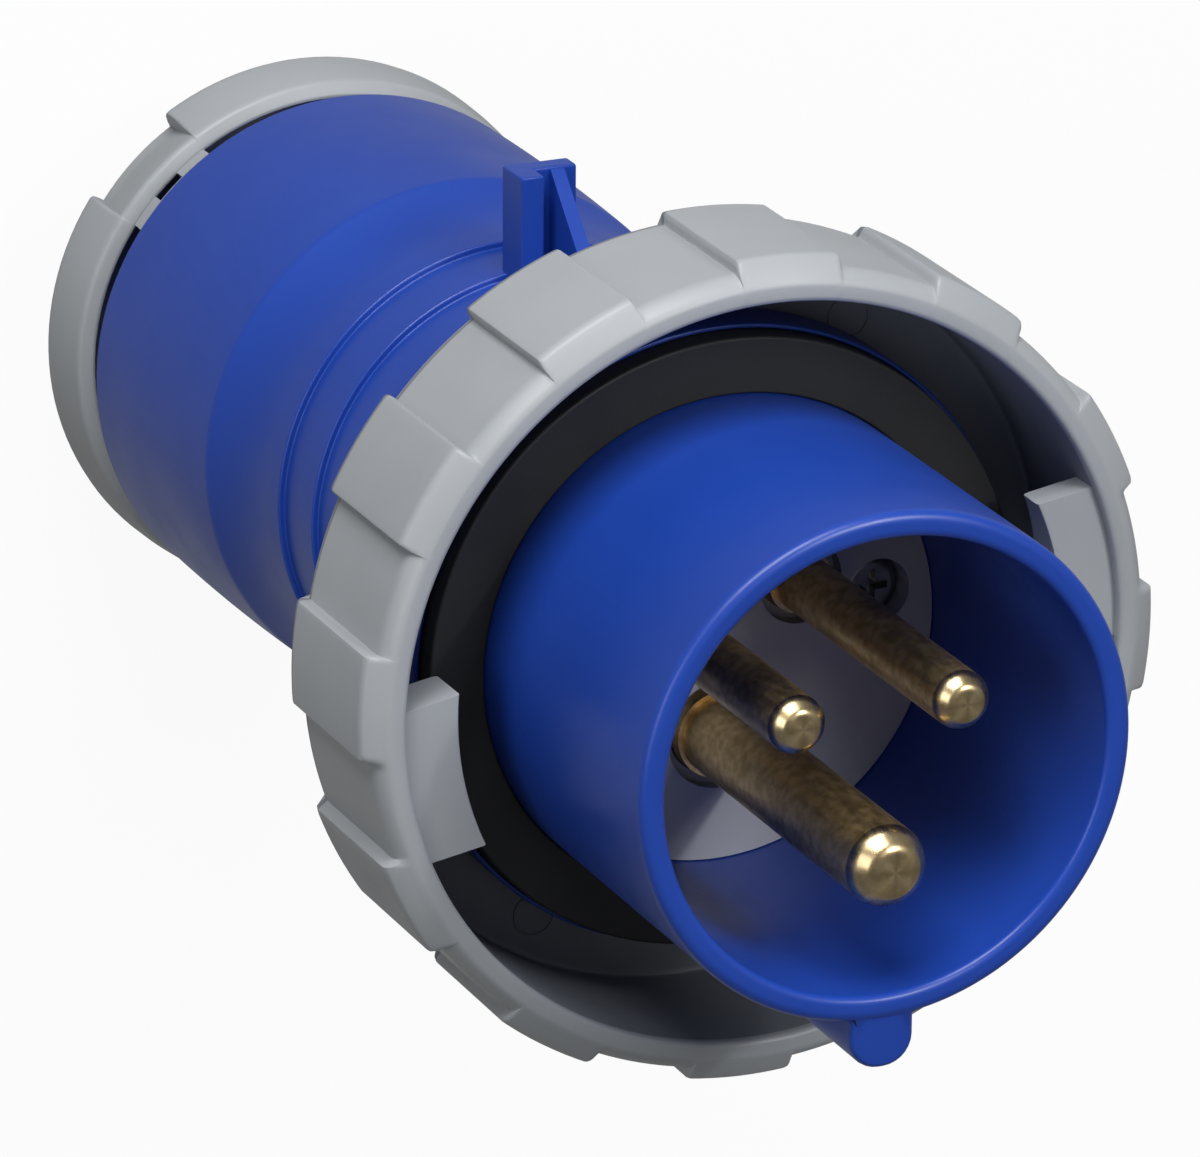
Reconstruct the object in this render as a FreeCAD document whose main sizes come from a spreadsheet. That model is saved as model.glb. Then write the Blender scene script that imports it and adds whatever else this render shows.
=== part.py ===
"""Industrial pin and sleeve plug: two poles and earth, with a locking ring and a cable gland.

The plug stands on the flat back of its gland nut. The Z axis is the plug's own axis,
Z = 0 is the back of the nut, and the sleeve opens upwards. The key rib points to -Y.
All sizes are in millimetres and degrees.
"""
import FreeCAD, Part
import os

import Sketcher

Vector = FreeCAD.Vector
Rotation = FreeCAD.Rotation

# Driving dimensions: name, value, meaning
SIZES = [
    ("rim_height", 138.0, "sleeve rim above the back of the nut"),
    ("sleeve_radius", 22.0, "outside of the sleeve"),
    ("sleeve_wall", 2.2, "wall of the sleeve"),
    ("sleeve_length", 32.0, "rim down to the gasket"),
    ("rim_round_radius", 0.8, "rounding of the rim"),
    ("key_width", 5.7, "width of the key rib"),
    ("key_height", 4.4, "key rib above the sleeve"),
    ("gasket_width", 5.0, "face gasket from the sleeve outwards"),
    ("gasket_thick", 3.0, "thickness of the face gasket"),
    ("gasket_gap", 0.3, "gasket to lip"),
    ("lip_wall", 1.4, "lip round the gasket"),
    ("lip_drop", 1.8, "lip below the face of the gasket"),
    ("flange_thick", 4.0, "flange under the gasket"),
    ("skirt_wall", 2.85, "wall of the skirt behind the flange"),
    ("skirt_length", 21.0, "skirt below the flange"),
    ("skirt_bead_height", 0.8, "bead at the end of the skirt"),
    ("insert_depth", 33.0, "rim down to the face of the insert"),
    ("insert_thick", 12.0, "height of the insert"),
    ("insert_front_length", 1.8, "height of the insert's narrow front"),
    ("insert_step_width", 0.55, "shoulder that stops the insert"),
    ("fit_gap", 0.1, "gap between pieces that are put together"),
    ("recess_depth", 1.6, "dished recesses in the insert's face"),
    ("recess_width", 0.9, "dished recesses, from the pin's root outwards"),
    ("back_plate_thick", 3.0, "plate behind the insert"),
    ("earth_angle", -90.0, "earth pin and key from the X axis"),
    ("pin_spread_angle", 120.0, "phase pins from the earth pin"),
    ("pin_inset_width", 11.3, "middle of a pin from the sleeve's inside"),
    ("phase_pin_radius", 2.5, "line and neutral pins"),
    ("earth_pin_radius", 3.5, "earth pin"),
    ("phase_pin_drop", 0.8, "tips of the phase pins below the rim"),
    ("earth_pin_rise_height", 1.5, "tip of the earth pin above the rim"),
    ("pin_root_wall", 0.4, "thicker root of a pin over its contact length"),
    ("pin_root_rise_height", 0.05, "root above the insert's face"),
    ("collar_wall", 1.6, "pin's collar over its contact length"),
    ("collar_thick", 2.4, "height of the pin's collar"),
    ("barrel_wall", 2.0, "wall of the terminal barrel"),
    ("barrel_bore_radius", 2.3, "wire hole of the phase pins"),
    ("earth_bore_radius", 2.8, "wire hole of the earth pin"),
    ("barrel_length", 18.0, "barrel below the back plate"),
    ("wire_depth", 14.0, "depth of the wire holes"),
    ("terminal_rise_height", 5.5, "terminal screw above the barrel's end"),
    ("terminal_radius", 2.0, "shank of a terminal screw"),
    ("terminal_length", 4.8, "shank of a terminal screw"),
    ("terminal_head_radius", 3.2, "head of a terminal screw"),
    ("terminal_head_thick", 2.0, "head of a terminal screw"),
    ("terminal_bite_depth", 0.35, "terminal screw's tip in the wire hole"),
    ("thread_gap", 0.04, "screw in its thread"),
    ("plate_width", 2.4, "pressure plate"),
    ("plate_thick", 0.8, "pressure plate"),
    ("plate_length", 6.0, "pressure plate"),
    ("screw_inset_width", 5.0, "middle of a housing screw from the sleeve's inside"),
    ("screw_angle", 9.0, "housing screws above the X axis"),
    ("screw_radius", 1.4, "shank of a housing screw"),
    ("screw_head_radius", 2.7, "head of a housing screw"),
    ("screw_head_thick", 2.2, "head of a housing screw"),
    ("screw_sink_depth", 3.6, "head's seat below the insert's face"),
    ("screw_bite_length", 6.0, "screw in the rear housing's boss"),
    ("boss_radius", 2.7, "boss for a housing screw"),
    ("boss_height", 7.5, "boss for a housing screw"),
    ("boss_rib_angle", 12.0, "rib from the boss to the housing's wall"),
    ("cord_radius", 0.75, "section of the O-rings"),
    ("ring_drop", 23.2, "rim down to the front of the locking ring"),
    ("collar_space_width", 3.9, "lip to the inside of the locking ring"),
    ("ring_wall", 2.7, "locking ring between its grip lands"),
    ("land_height", 1.1, "height of a grip land"),
    ("ring_bevel_width", 1.6, "bevel at the front and back of the ring"),
    ("land_count", 12, "number of grip lands"),
    ("land_angle", 15.0, "width of a grip land"),
    ("land_round_radius", 0.5, "rounding of a land's corners"),
    ("first_land_angle", 17.0, "first land, from the lug"),
    ("web_thick", 1.8, "web at the back of the ring"),
    ("ring_play_gap", 0.06, "ring on the skirt"),
    ("web_play_gap", 0.2, "web behind the flange"),
    ("lug_count", 2, "bayonet lugs inside the ring"),
    ("lug_height", 5.0, "bayonet lug inwards from the ring's inside"),
    ("lug_width", 13.8, "width of a lug"),
    ("lug_drop", 1.0, "lug below the ring's front"),
    ("lug_thick", 5.0, "lug at its thick end"),
    ("lug_ramp_height", 2.0, "rise of the locking ramp under a lug"),
    ("lug_ramp_length", 9.0, "length of that ramp"),
    ("ring_rest_angle", 10.0, "unlocked place of the ring"),
    ("ring_travel_angle", 45.0, "turn from unlocked to locked"),
    ("stop_angle", 8.0, "width of the stop on the skirt"),
    ("stop_height", 1.6, "stop above the skirt"),
    ("stop_play_angle", 0.5, "play of the stop in its slot"),
    ("nib_height", 0.7, "snap nibs that keep the ring on"),
    ("nib_angle", 14.0, "width of a snap nib"),
    ("nib_length", 2.0, "snap nib along the axis"),
    ("nib_count", 3, "number of snap nibs"),
    ("spigot_step_width", 0.55, "land in the skirt that the rear housing's spigot meets"),
    ("housing_wall", 2.2, "wall of the rear housing"),
    ("waist_step_width", 0.6, "small steps on the waist"),
    ("cove_width", 2.05, "hollow curve from the waist out to the bell"),
    ("cove_length", 9.5, "hollow curve along the axis"),
    ("cove_radius", 21.0, "radius of that curve"),
    ("band_low_length", 2.6, "first band of the waist"),
    ("band_high_length", 6.3, "second band of the waist"),
    ("bell_length", 26.8, "bell up to its shoulder"),
    ("bell_flare_width", 0.3, "bell's back wider than its shoulder"),
    ("bell_crown_radius", 400.0, "radius of the bell's side"),
    ("bell_lip_wall", 0.8, "thin lip round the bell's back"),
    ("bell_recess_depth", 2.6, "annular recess in the bell's back"),
    ("web_rise_height", 5.8, "wall between gland and wiring space above the bell's back"),
    ("web_wall", 3.0, "that wall"),
    ("web_bore_radius", 12.5, "cable hole in that wall"),
    ("bell_taper_length", 6.0, "taper of the wiring space under the shoulder"),
    ("tab_rise_height", 1.0, "front face of the release tab from the waist's last step"),
    ("tab_height", 9.9, "top of the tab above the front spigot"),
    ("tab_width", 6.2, "tab across"),
    ("tab_thick", 2.2, "tab along the axis"),
    ("tab_post_width", 2.2, "post beside the rib"),
    ("tab_post_thick", 2.2, "post in front of the tab"),
    ("tab_rib_width", 1.3, "sloping rib of the tab"),
    ("tab_rib_length", 9.8, "sloping rib along the axis"),
    ("collar_length", 3.3, "ratchet collar behind the bell"),
    ("collar_step_width", 0.8, "root of the ratchet teeth above the thread"),
    ("tooth_height", 0.5, "ratchet teeth"),
    ("tooth_count", 24, "number of ratchet teeth"),
    ("tooth_angle", 10.5, "width of a ratchet tooth"),
    ("thread_inset_width", 4.15, "threaded spigot under the bell's outside"),
    ("gland_wall", 3.1, "wall of the threaded spigot"),
    ("nut_length", 17.7, "gland nut"),
    ("nut_collar_gap", 0.2, "nut to the ratchet collar"),
    ("nut_cable_radius", 10.6, "cable hole of the nut"),
    ("nut_funnel_width", 2.4, "funnel of the cable hole at the nut's back"),
    ("nut_funnel_length", 4.0, "funnel along the axis"),
    ("nut_floor_thick", 6.4, "floor of the nut"),
    ("nut_root_wall", 0.9, "wall of the nut's mouth in a notch"),
    ("nut_front_wall", 2.0, "wall of the nut's front edge"),
    ("nut_cone_width", 5.6, "cone from the nut's back out to its root"),
    ("nut_cone_length", 8.8, "cone at the nut's back, along the axis"),
    ("pad_height", 2.1, "height of the grip pads"),
    ("nut_bevel_length", 2.4, "bevel behind the front edge"),
    ("notch_count", 3, "number of notches"),
    ("notch_angle", 23.0, "width of a notch"),
    ("notch_place_angle", 133.5, "middle of the first notch"),
    ("nut_mouth_gap", 0.5, "ratchet teeth to the mouth of the nut"),
    ("nut_mouth_depth", 2.8, "depth of that mouth"),
    ("nut_play_gap", 0.06, "nut on its thread"),
    ("pawl_wall", 1.0, "click tab in front of a notch"),
    ("pawl_length", 4.5, "click tab ahead of the nut"),
    ("pawl_gap", 0.3, "click tab to the bell's lip"),
    ("pawl_slot_depth", 1.4, "arched slot in the click tab"),
    ("washer_thick", 1.4, "slip washer"),
    ("washer_inset_width", 3.3, "slip washer under the thread"),
    ("cage_floor_thick", 2.1, "floor of the clamp cage"),
    ("cage_bore_radius", 10.2, "cable hole of the cage"),
    ("cage_inset_width", 0.7, "flange of the cage under the thread"),
    ("finger_wall", 1.6, "fingers of the cage"),
    ("finger_length", 9.8, "fingers of the cage"),
    ("finger_count", 8, "number of fingers"),
    ("finger_slot_width", 2.0, "slot between fingers"),
    ("seal_bore_radius", 9.0, "inside of the gland seal"),
    ("cable_radius", 6.0, "inside of the inner sealing ring"),
    ("rubber_gap", 0.15, "rubber to its seat"),
]
QUARTER_TURN = 90.0
HALF_TURN = 180.0

doc = FreeCAD.newDocument("pin_and_sleeve_plug")
sheet = doc.addObject("Spreadsheet::Sheet", "Sizes")


class Size:
    """A number that keeps the sheet expression it was worked out from."""

    def __init__(self, value, text):
        self.value = float(value)
        self.text = text

    def joined(self, other, sign, value):
        text = other.text if isinstance(other, Size) else repr(other)
        return Size(value, "(%s %s %s)" % (self.text, sign, text))

    def __add__(self, other):
        return self.joined(other, "+", self.value + number(other))

    def __sub__(self, other):
        return self.joined(other, "-", self.value - number(other))

    def __mul__(self, other):
        return self.joined(other, "*", self.value * number(other))

    def __truediv__(self, other):
        return self.joined(other, "/", self.value / number(other))

    def __neg__(self):
        return Size(-self.value, "(0 - %s)" % self.text)


def number(size):
    """The plain number of a size."""
    return size.value if isinstance(size, Size) else float(size)


def text_of(size):
    """The sheet expression of a size."""
    return size.text if isinstance(size, Size) else repr(size)


def turned(radius, angle):
    """X and Y of a point at a radius and an angle in degrees, as sizes."""
    arm = Rotation(Vector(0, 0, 1), number(angle)).multVec(Vector(number(radius), 0, 0))
    texts = (text_of(radius), text_of(angle))
    return Size(arm.x, "(%s * cos(%s * 1 deg))" % texts), Size(arm.y, "(%s * sin(%s * 1 deg))" % texts)


class Values:
    """The sheet's cells by name."""


size = Values()
for row, (name, value, meaning) in enumerate(SIZES, start=1):
    sheet.set("A%d" % row, meaning)
    sheet.set("B%d" % row, str(value))
    sheet.setAlias("B%d" % row, name)
    setattr(size, name, Size(value, "Sizes." + name))
doc.recompute()


# Helpers for sketches and features

def origin_feature(body, role):
    """A plane or axis of the body's own origin."""
    return next(item for item in body.Origin.OriginFeatures if item.Role == role)


def new_body(label):
    """An empty body whose label names its file."""
    body = doc.addObject("PartDesign::Body", label)
    body.Label = label
    return body


def new_sketch(body, role, name, lift=None):
    """A sketch on an origin plane, lifted along the plane's normal."""
    sketch = body.newObject("Sketcher::SketchObject", name)
    sketch.AttachmentSupport = (origin_feature(body, role), [""])
    sketch.MapMode = "FlatFace"
    if lift is not None:
        sketch.AttachmentOffset = FreeCAD.Placement(Vector(0, 0, number(lift)), Rotation())
        sketch.setExpression("AttachmentOffset.Base.z", text_of(lift))
    return sketch


def bind(sketch, constraint, value):
    """Add one dimension and tie it to the sheet."""
    index = sketch.addConstraint(constraint)
    if isinstance(value, Size):
        sketch.setExpression("Constraints[%d]" % index, value.text)


def place_point(sketch, geometry, end, x, y):
    """Dimension a point of a sketch from its origin."""
    bind(sketch, Sketcher.Constraint("DistanceX", -1, 1, geometry, end, number(x)), x)
    bind(sketch, Sketcher.Constraint("DistanceY", -1, 1, geometry, end, number(y)), y)


def arc_between(start, end, radius, left):
    """An arc from start to end that bulges to the left or right of its chord."""
    chord = end - start
    half = chord.Length / 2.0
    side = Vector(-chord.y, chord.x, 0).normalize() * (1 if left else -1)
    rise = (radius ** 2 - half ** 2) ** 0.5
    centre = (start + end) * 0.5 - side * rise
    middle = centre + side * radius
    return Part.Arc(start, middle, end), middle


def draw_outline(sketch, points):
    """A closed outline. A point is (x, y), or (x, y, radius, "left" or "right") before an arc."""
    first = sketch.GeometryCount
    count = len(points)
    for index, point in enumerate(points):
        following = points[(index + 1) % count]
        start = Vector(number(point[0]), number(point[1]), 0)
        end = Vector(number(following[0]), number(following[1]), 0)
        if len(point) == 2:
            sketch.addGeometry(Part.LineSegment(start, end), False)
            continue
        curve, middle = arc_between(start, end, number(point[2]), point[3] == "left")
        sketch.addGeometry(curve, False)
    ends = []
    for index, point in enumerate(points):
        start = Vector(number(point[0]), number(point[1]), 0)
        at_start = sketch.getPoint(first + index, 1).distanceToPoint(start) < 1e-6
        ends.append((1, 2) if at_start else (2, 1))
    for index in range(count):
        nearby = (index + 1) % count
        sketch.addConstraint(Sketcher.Constraint(
            "Coincident", first + index, ends[index][1], first + nearby, ends[nearby][0]))
    for index, point in enumerate(points):
        place_point(sketch, first + index, ends[index][0], point[0], point[1])
        if len(point) > 2:
            limit = Sketcher.Constraint("Radius", first + index, number(point[2]))
            bind(sketch, limit, point[2])


def draw_circle(sketch, x, y, radius):
    """A circle with its centre and radius dimensioned."""
    middle = Vector(number(x), number(y), 0)
    index = sketch.addGeometry(Part.Circle(middle, Vector(0, 0, 1), number(radius)), False)
    place_point(sketch, index, 3, x, y)
    bind(sketch, Sketcher.Constraint("Radius", index, number(radius)), radius)


def draw_sector(sketch, inner, outer, start_angle, end_angle):
    """A ring sector between two radii and two angles in degrees."""
    draw_outline(sketch, [
        turned(inner, start_angle),
        turned(outer, start_angle) + (outer, "right"),
        turned(outer, end_angle),
        turned(inner, end_angle) + (inner, "left"),
    ])


def finish_feature(body, feature):
    """Make the feature the body's tip."""
    body.Tip = feature
    doc.recompute()
    return feature


def revolve(body, points, name="Profile"):
    """Turn an outline of radii and heights once round the Z axis."""
    sketch = new_sketch(body, "XZ_Plane", name)
    draw_outline(sketch, points)
    feature = body.newObject("PartDesign::Revolution", name + "Turn")
    feature.Profile = sketch
    feature.ReferenceAxis = (sketch, ["V_Axis"])
    feature.Angle = 360
    return finish_feature(body, feature)


def extrude(body, sketch, length, kind="Pad", reversed_way=False, symmetric=False):
    """Pad or pocket a sketch by a length."""
    feature = body.newObject("PartDesign::" + kind, sketch.Name + kind)
    feature.Profile = sketch
    feature.Length = number(length)
    if isinstance(length, Size):
        feature.setExpression("Length", length.text)
    feature.Reversed = reversed_way
    if symmetric:
        feature.SideType = "Symmetric"
    return finish_feature(body, feature)


def repeat_round(body, features, count):
    """Repeat features round the Z axis."""
    pattern = body.newObject("PartDesign::PolarPattern", "Round")
    pattern.Originals = features
    pattern.Axis = (origin_feature(body, "Z_Axis"), [""])
    pattern.Angle = 360
    pattern.Occurrences = int(number(count))
    if isinstance(count, Size):
        pattern.setExpression("Occurrences", count.text)
    return finish_feature(body, pattern)


def round_edges(body, wanted, radius, kind="Fillet"):
    """Fillet or chamfer the edges that a test picks from the tip's shape."""
    base = body.Tip
    edges = base.Shape.Edges
    names = ["Edge%d" % (index + 1) for index, edge in enumerate(edges) if wanted(edge)]
    feature = body.newObject("PartDesign::" + kind, "Soft")
    feature.Base = (base, names)
    if kind == "Fillet":
        feature.Radius = number(radius)
        feature.setExpression("Radius", text_of(radius))
    else:
        feature.Size = number(radius)
        feature.setExpression("Size", text_of(radius))
    return finish_feature(body, feature)


def along_axis(edge, shortest):
    """True for a straight edge parallel to the Z axis."""
    if edge.Curve.TypeId != "Part::GeomLine" or edge.Length < shortest:
        return False
    return abs(edge.tangentAt(edge.FirstParameter).z) > 0.999


def place(body, x, y, angle):
    """Move a finished body to a place round the axis and turn it."""
    spin = Rotation(Vector(0, 0, 1), number(angle))
    body.Placement = FreeCAD.Placement(Vector(number(x), number(y), 0), spin)
    body.setExpression("Placement.Base.x", text_of(x))
    body.setExpression("Placement.Base.y", text_of(y))
    if isinstance(angle, Size):
        body.setExpression("Placement.Rotation.Angle", angle.text + " * 1 deg")
    doc.recompute()


# Heights and radii that several pieces share

gasket_face = size.rim_height - size.sleeve_length
flange_top = gasket_face - size.gasket_thick
flange_back = flange_top - size.flange_thick
skirt_end = flange_back - size.skirt_length
insert_face = size.rim_height - size.insert_depth
insert_back = insert_face - size.insert_thick
insert_shoulder = insert_face - size.insert_front_length
plate_back = insert_back - size.back_plate_thick
barrel_end = plate_back - size.barrel_length
terminal_level = barrel_end + size.terminal_rise_height
seal_groove_level = insert_back + (insert_shoulder - insert_back) / 2
housing_groove_level = plate_back - size.cord_radius * 3
ring_front = size.rim_height - size.ring_drop
web_top = flange_back - size.web_play_gap
ring_back = web_top - size.web_thick
ring_length = ring_front - ring_back

bell_back = size.nut_length + size.nut_collar_gap + size.collar_length
shoulder_level = bell_back + size.bell_length
waist_level = shoulder_level + size.cove_length
band_level = waist_level + size.band_low_length
neck_level = band_level + size.band_high_length
tab_front = neck_level + size.tab_rise_height
housing_web_top = bell_back + size.web_rise_height
seal_top = housing_web_top - size.web_wall
collar_back = bell_back - size.collar_length
cage_back = size.nut_floor_thick + size.washer_thick
spigot_back = cage_back + size.cage_floor_thick

sleeve_bore = size.sleeve_radius - size.sleeve_wall
pin_circle = sleeve_bore - size.pin_inset_width
screw_circle = sleeve_bore - size.screw_inset_width
gasket_radius = size.sleeve_radius + size.gasket_width
lip_inner = gasket_radius + size.gasket_gap
lip_outer = lip_inner + size.lip_wall
insert_bore = sleeve_bore + size.insert_step_width
spigot_radius = insert_bore + size.spigot_step_width
skirt_bore = spigot_radius + size.fit_gap * 2.5
skirt_radius = skirt_bore + size.skirt_wall
ring_bore = lip_outer + size.collar_space_width
ring_outside = ring_bore + size.ring_wall
lug_face = ring_bore - size.lug_height
wiring_radius = spigot_radius - size.housing_wall
waist_radius = spigot_radius + size.waist_step_width * 2
bell_front_radius = waist_radius + size.cove_width
bell_back_radius = bell_front_radius + size.bell_flare_width
tab_reach = spigot_radius + size.tab_height
thread_radius = bell_back_radius - size.thread_inset_width
collar_radius = thread_radius + size.collar_step_width
gland_bore = thread_radius - size.gland_wall
nut_mouth_radius = collar_radius + size.tooth_height + size.nut_mouth_gap
nut_root_radius = nut_mouth_radius + size.nut_root_wall
nut_front_radius = nut_mouth_radius + size.nut_front_wall
nut_base_radius = nut_root_radius - size.nut_cone_width
washer_radius = thread_radius - size.washer_inset_width
cage_flange_radius = thread_radius - size.cage_inset_width

line_angle = size.earth_angle - size.pin_spread_angle
neutral_angle = size.earth_angle + size.pin_spread_angle
pin_places = {
    "line_pin": (line_angle, size.phase_pin_radius, size.barrel_bore_radius),
    "neutral_pin": (neutral_angle, size.phase_pin_radius, size.barrel_bore_radius),
    "earth_pin": (size.earth_angle, size.earth_pin_radius, size.earth_bore_radius),
}


def barrel_radius(bore):
    """Outside of a terminal barrel."""
    return bore + size.barrel_wall


# Front body: sleeve, key, flange and skirt

def make_front_body():
    body = new_body("front_body")
    lip_top = gasket_face - size.lip_drop
    bead_top = skirt_end + size.skirt_bead_height * 2
    revolve(body, [
        (skirt_bore, skirt_end),
        (skirt_radius, skirt_end),
        (skirt_radius, flange_back),
        (lip_outer, flange_back),
        (lip_outer, lip_top),
        (lip_inner, lip_top),
        (lip_inner, flange_top),
        (size.sleeve_radius, flange_top),
        (size.sleeve_radius, size.rim_height),
        (sleeve_bore, size.rim_height),
        (sleeve_bore, insert_shoulder),
        (insert_bore, insert_shoulder),
        (insert_bore, plate_back),
        (skirt_bore, plate_back),
    ])
    rim = size.rim_height.value
    round_edges(body, lambda edge: edge.BoundBox.ZMin > rim - 0.01, size.rim_round_radius)

    bead = new_sketch(body, "XY_Plane", "Bead", skirt_end)
    draw_circle(bead, 0.0, 0.0, skirt_radius + size.skirt_bead_height)
    draw_circle(bead, 0.0, 0.0, skirt_radius - size.skirt_bead_height)
    extrude(body, bead, bead_top - skirt_end)

    key = new_sketch(body, "XY_Plane", "Key", flange_top)
    half = size.key_width / 2
    root = -(sleeve_bore + size.sleeve_wall / 2)
    bend = half * 0.92
    tip = -(size.sleeve_radius + size.key_height)
    draw_outline(key, [
        (half, root),
        (-half, root),
        (-half, tip + bend, bend, "right"),
        (-(half - bend), tip),
        (half - bend, tip, bend, "right"),
        (half, tip + bend),
    ])
    extrude(body, key, size.rim_height - flange_top - size.rim_round_radius / 4)

    stop = new_sketch(body, "XY_Plane", "Stop", ring_back)
    half_stop = size.stop_angle / 2
    draw_sector(stop, skirt_radius - size.skirt_bead_height, skirt_radius + size.stop_height,
                -half_stop + QUARTER_TURN, half_stop + QUARTER_TURN)
    extrude(body, stop, flange_back - ring_back)

    nib = new_sketch(body, "XY_Plane", "Nib", ring_back - size.web_play_gap - size.nib_length)
    half_nib = size.nib_angle / 2
    draw_sector(nib, skirt_radius - size.skirt_bead_height, skirt_radius + size.nib_height,
                -half_nib, half_nib)
    nib_pad = extrude(body, nib, size.nib_length)
    repeat_round(body, [nib_pad], size.nib_count)

    groove = new_sketch(body, "XZ_Plane", "SealGroove")
    draw_seal_groove(groove, insert_bore, seal_groove_level)
    cut = body.newObject("PartDesign::Groove", "SealGrooveCut")
    cut.Profile = groove
    cut.ReferenceAxis = (groove, ["V_Axis"])
    cut.Angle = 360
    finish_feature(body, cut)
    return body


def draw_seal_groove(sketch, bore, height):
    """Square groove for an O-ring, cut outwards from a bore."""
    reach = size.cord_radius * 2
    half = size.cord_radius + size.fit_gap
    draw_outline(sketch, [
        (bore - half, height - half),
        (bore + reach, height - half),
        (bore + reach, height + half),
        (bore - half, height + half),
    ])


def o_ring(label, middle_radius, height):
    """A rubber ring of round section."""
    body = new_body(label)
    sketch = new_sketch(body, "XZ_Plane", "Section")
    draw_circle(sketch, middle_radius, height, size.cord_radius)
    ring = body.newObject("PartDesign::Revolution", "SectionTurn")
    ring.Profile = sketch
    ring.ReferenceAxis = (sketch, ["V_Axis"])
    ring.Angle = 360
    finish_feature(body, ring)
    return body


# Insert, back plate and pins

def make_contact_carrier():
    body = new_body("contact_carrier")
    front_radius = sleeve_bore - size.fit_gap
    back_radius = insert_bore - size.fit_gap
    shoulder = insert_shoulder - size.fit_gap
    revolve(body, [
        (0.0, insert_back),
        (back_radius, insert_back),
        (back_radius, shoulder),
        (front_radius, shoulder),
        (front_radius, insert_face),
        (0.0, insert_face),
    ])
    for name, (angle, radius, bore) in pin_places.items():
        x, y = turned(pin_circle, angle)
        root = radius + size.pin_root_wall
        hole = new_sketch(body, "XY_Plane", name + "Hole", insert_face)
        draw_circle(hole, x, y, root + size.fit_gap)
        extrude(body, hole, size.insert_thick, "Pocket")
        dish = new_sketch(body, "XY_Plane", name + "Dish", insert_face)
        draw_circle(dish, x, y, root + size.recess_width)
        extrude(body, dish, size.recess_depth, "Pocket")
        seat = new_sketch(body, "XY_Plane", name + "Seat", insert_back)
        draw_circle(seat, x, y, radius + size.collar_wall + size.fit_gap)
        extrude(body, seat, size.collar_thick, "Pocket", reversed_way=True)
    for index, (x, y) in enumerate(screw_places()):
        sink = new_sketch(body, "XY_Plane", "Sink%d" % index, insert_face)
        draw_circle(sink, x, y, size.screw_head_radius + size.fit_gap * 2)
        extrude(body, sink, size.screw_sink_depth, "Pocket")
        hole = new_sketch(body, "XY_Plane", "Hole%d" % index, insert_face)
        draw_circle(hole, x, y, size.screw_radius + size.fit_gap)
        extrude(body, hole, size.insert_thick, "Pocket")
    return body


def screw_places():
    """The two housing screws, mirrored about the key's plane."""
    x, y = turned(screw_circle, size.screw_angle)
    return [(x, y), (-x, y)]


def make_back_plate():
    body = new_body("carrier_back_plate")
    plate_radius = insert_bore - size.fit_gap
    revolve(body, [
        (0.0, plate_back),
        (plate_radius, plate_back),
        (plate_radius, insert_back),
        (0.0, insert_back),
    ])
    for name, (angle, radius, bore) in pin_places.items():
        x, y = turned(pin_circle, angle)
        hole = new_sketch(body, "XY_Plane", name + "Hole", insert_back)
        draw_circle(hole, x, y, barrel_radius(bore) + size.fit_gap)
        extrude(body, hole, size.back_plate_thick, "Pocket")
    for index, (x, y) in enumerate(screw_places()):
        hole = new_sketch(body, "XY_Plane", "Hole%d" % index, insert_back)
        draw_circle(hole, x, y, size.screw_radius + size.fit_gap)
        extrude(body, hole, size.back_plate_thick, "Pocket")
    return body


def make_pin(label):
    """A turned pin: domed contact, thicker root, collar and terminal barrel with its screw hole."""
    angle, radius, bore = pin_places[label]
    body = new_body(label)
    if label == "earth_pin":
        tip = size.rim_height + size.earth_pin_rise_height
    else:
        tip = size.rim_height - size.phase_pin_drop
    dome_flat = radius * 0.45
    dome_drop = radius * 0.42
    dome = radius * 0.72
    outer = barrel_radius(bore)
    collar = radius + size.collar_wall
    collar_top = insert_back + size.collar_thick - size.fit_gap
    root = radius + size.pin_root_wall
    root_top = insert_face + size.pin_root_rise_height
    revolve(body, [
        (bore, barrel_end),
        (outer, barrel_end),
        (outer, insert_back),
        (collar, insert_back),
        (collar, collar_top),
        (root, collar_top),
        (root, root_top),
        (radius, root_top),
        (radius, tip - dome_drop, dome, "right"),
        (dome_flat, tip),
        (0.0, tip),
        (0.0, barrel_end + size.wire_depth),
        (bore, barrel_end + size.wire_depth),
    ])
    cross = new_sketch(body, "YZ_Plane", "ScrewHole")
    draw_circle(cross, 0.0, terminal_level, size.terminal_radius + size.thread_gap)
    extrude(body, cross, outer * 2, "Pocket", reversed_way=True)
    x, y = turned(pin_circle, angle)
    place(body, x, y, angle)
    return body


# Screws and pressure plates: plain solids shaped from the sheet's values

def terminal_screw(angle, bore):
    """A cheese-head screw pointing to the pin's axis, with a slot."""
    tip = bore.value - size.terminal_bite_depth.value
    shank = size.terminal_length.value
    head = size.terminal_head_radius.value
    head_thick = size.terminal_head_thick.value
    outward = Vector(1, 0, 0)
    start = Vector(tip, 0, terminal_level.value)
    solid = Part.makeCylinder(size.terminal_radius.value, shank, start, outward)
    cap = Part.makeCylinder(head, head_thick, start + outward * shank, outward)
    rounded = [edge for edge in cap.Edges
               if edge.Curve.TypeId == "Part::GeomCircle"
               and edge.CenterOfMass.x > start.x + shank + head_thick / 2]
    cap = cap.makeFillet(head_thick / 4, rounded)
    slot_width = head / 4
    slot_depth = head_thick / 2
    slot = Part.makeBox(slot_depth * 2, slot_width, head * 3)
    slot.translate(Vector(tip + shank + head_thick - slot_depth, -slot_width / 2,
                          terminal_level.value - head * 1.5))
    solid = solid.fuse(cap).cut(slot)
    return around_pin(solid, angle)


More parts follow.
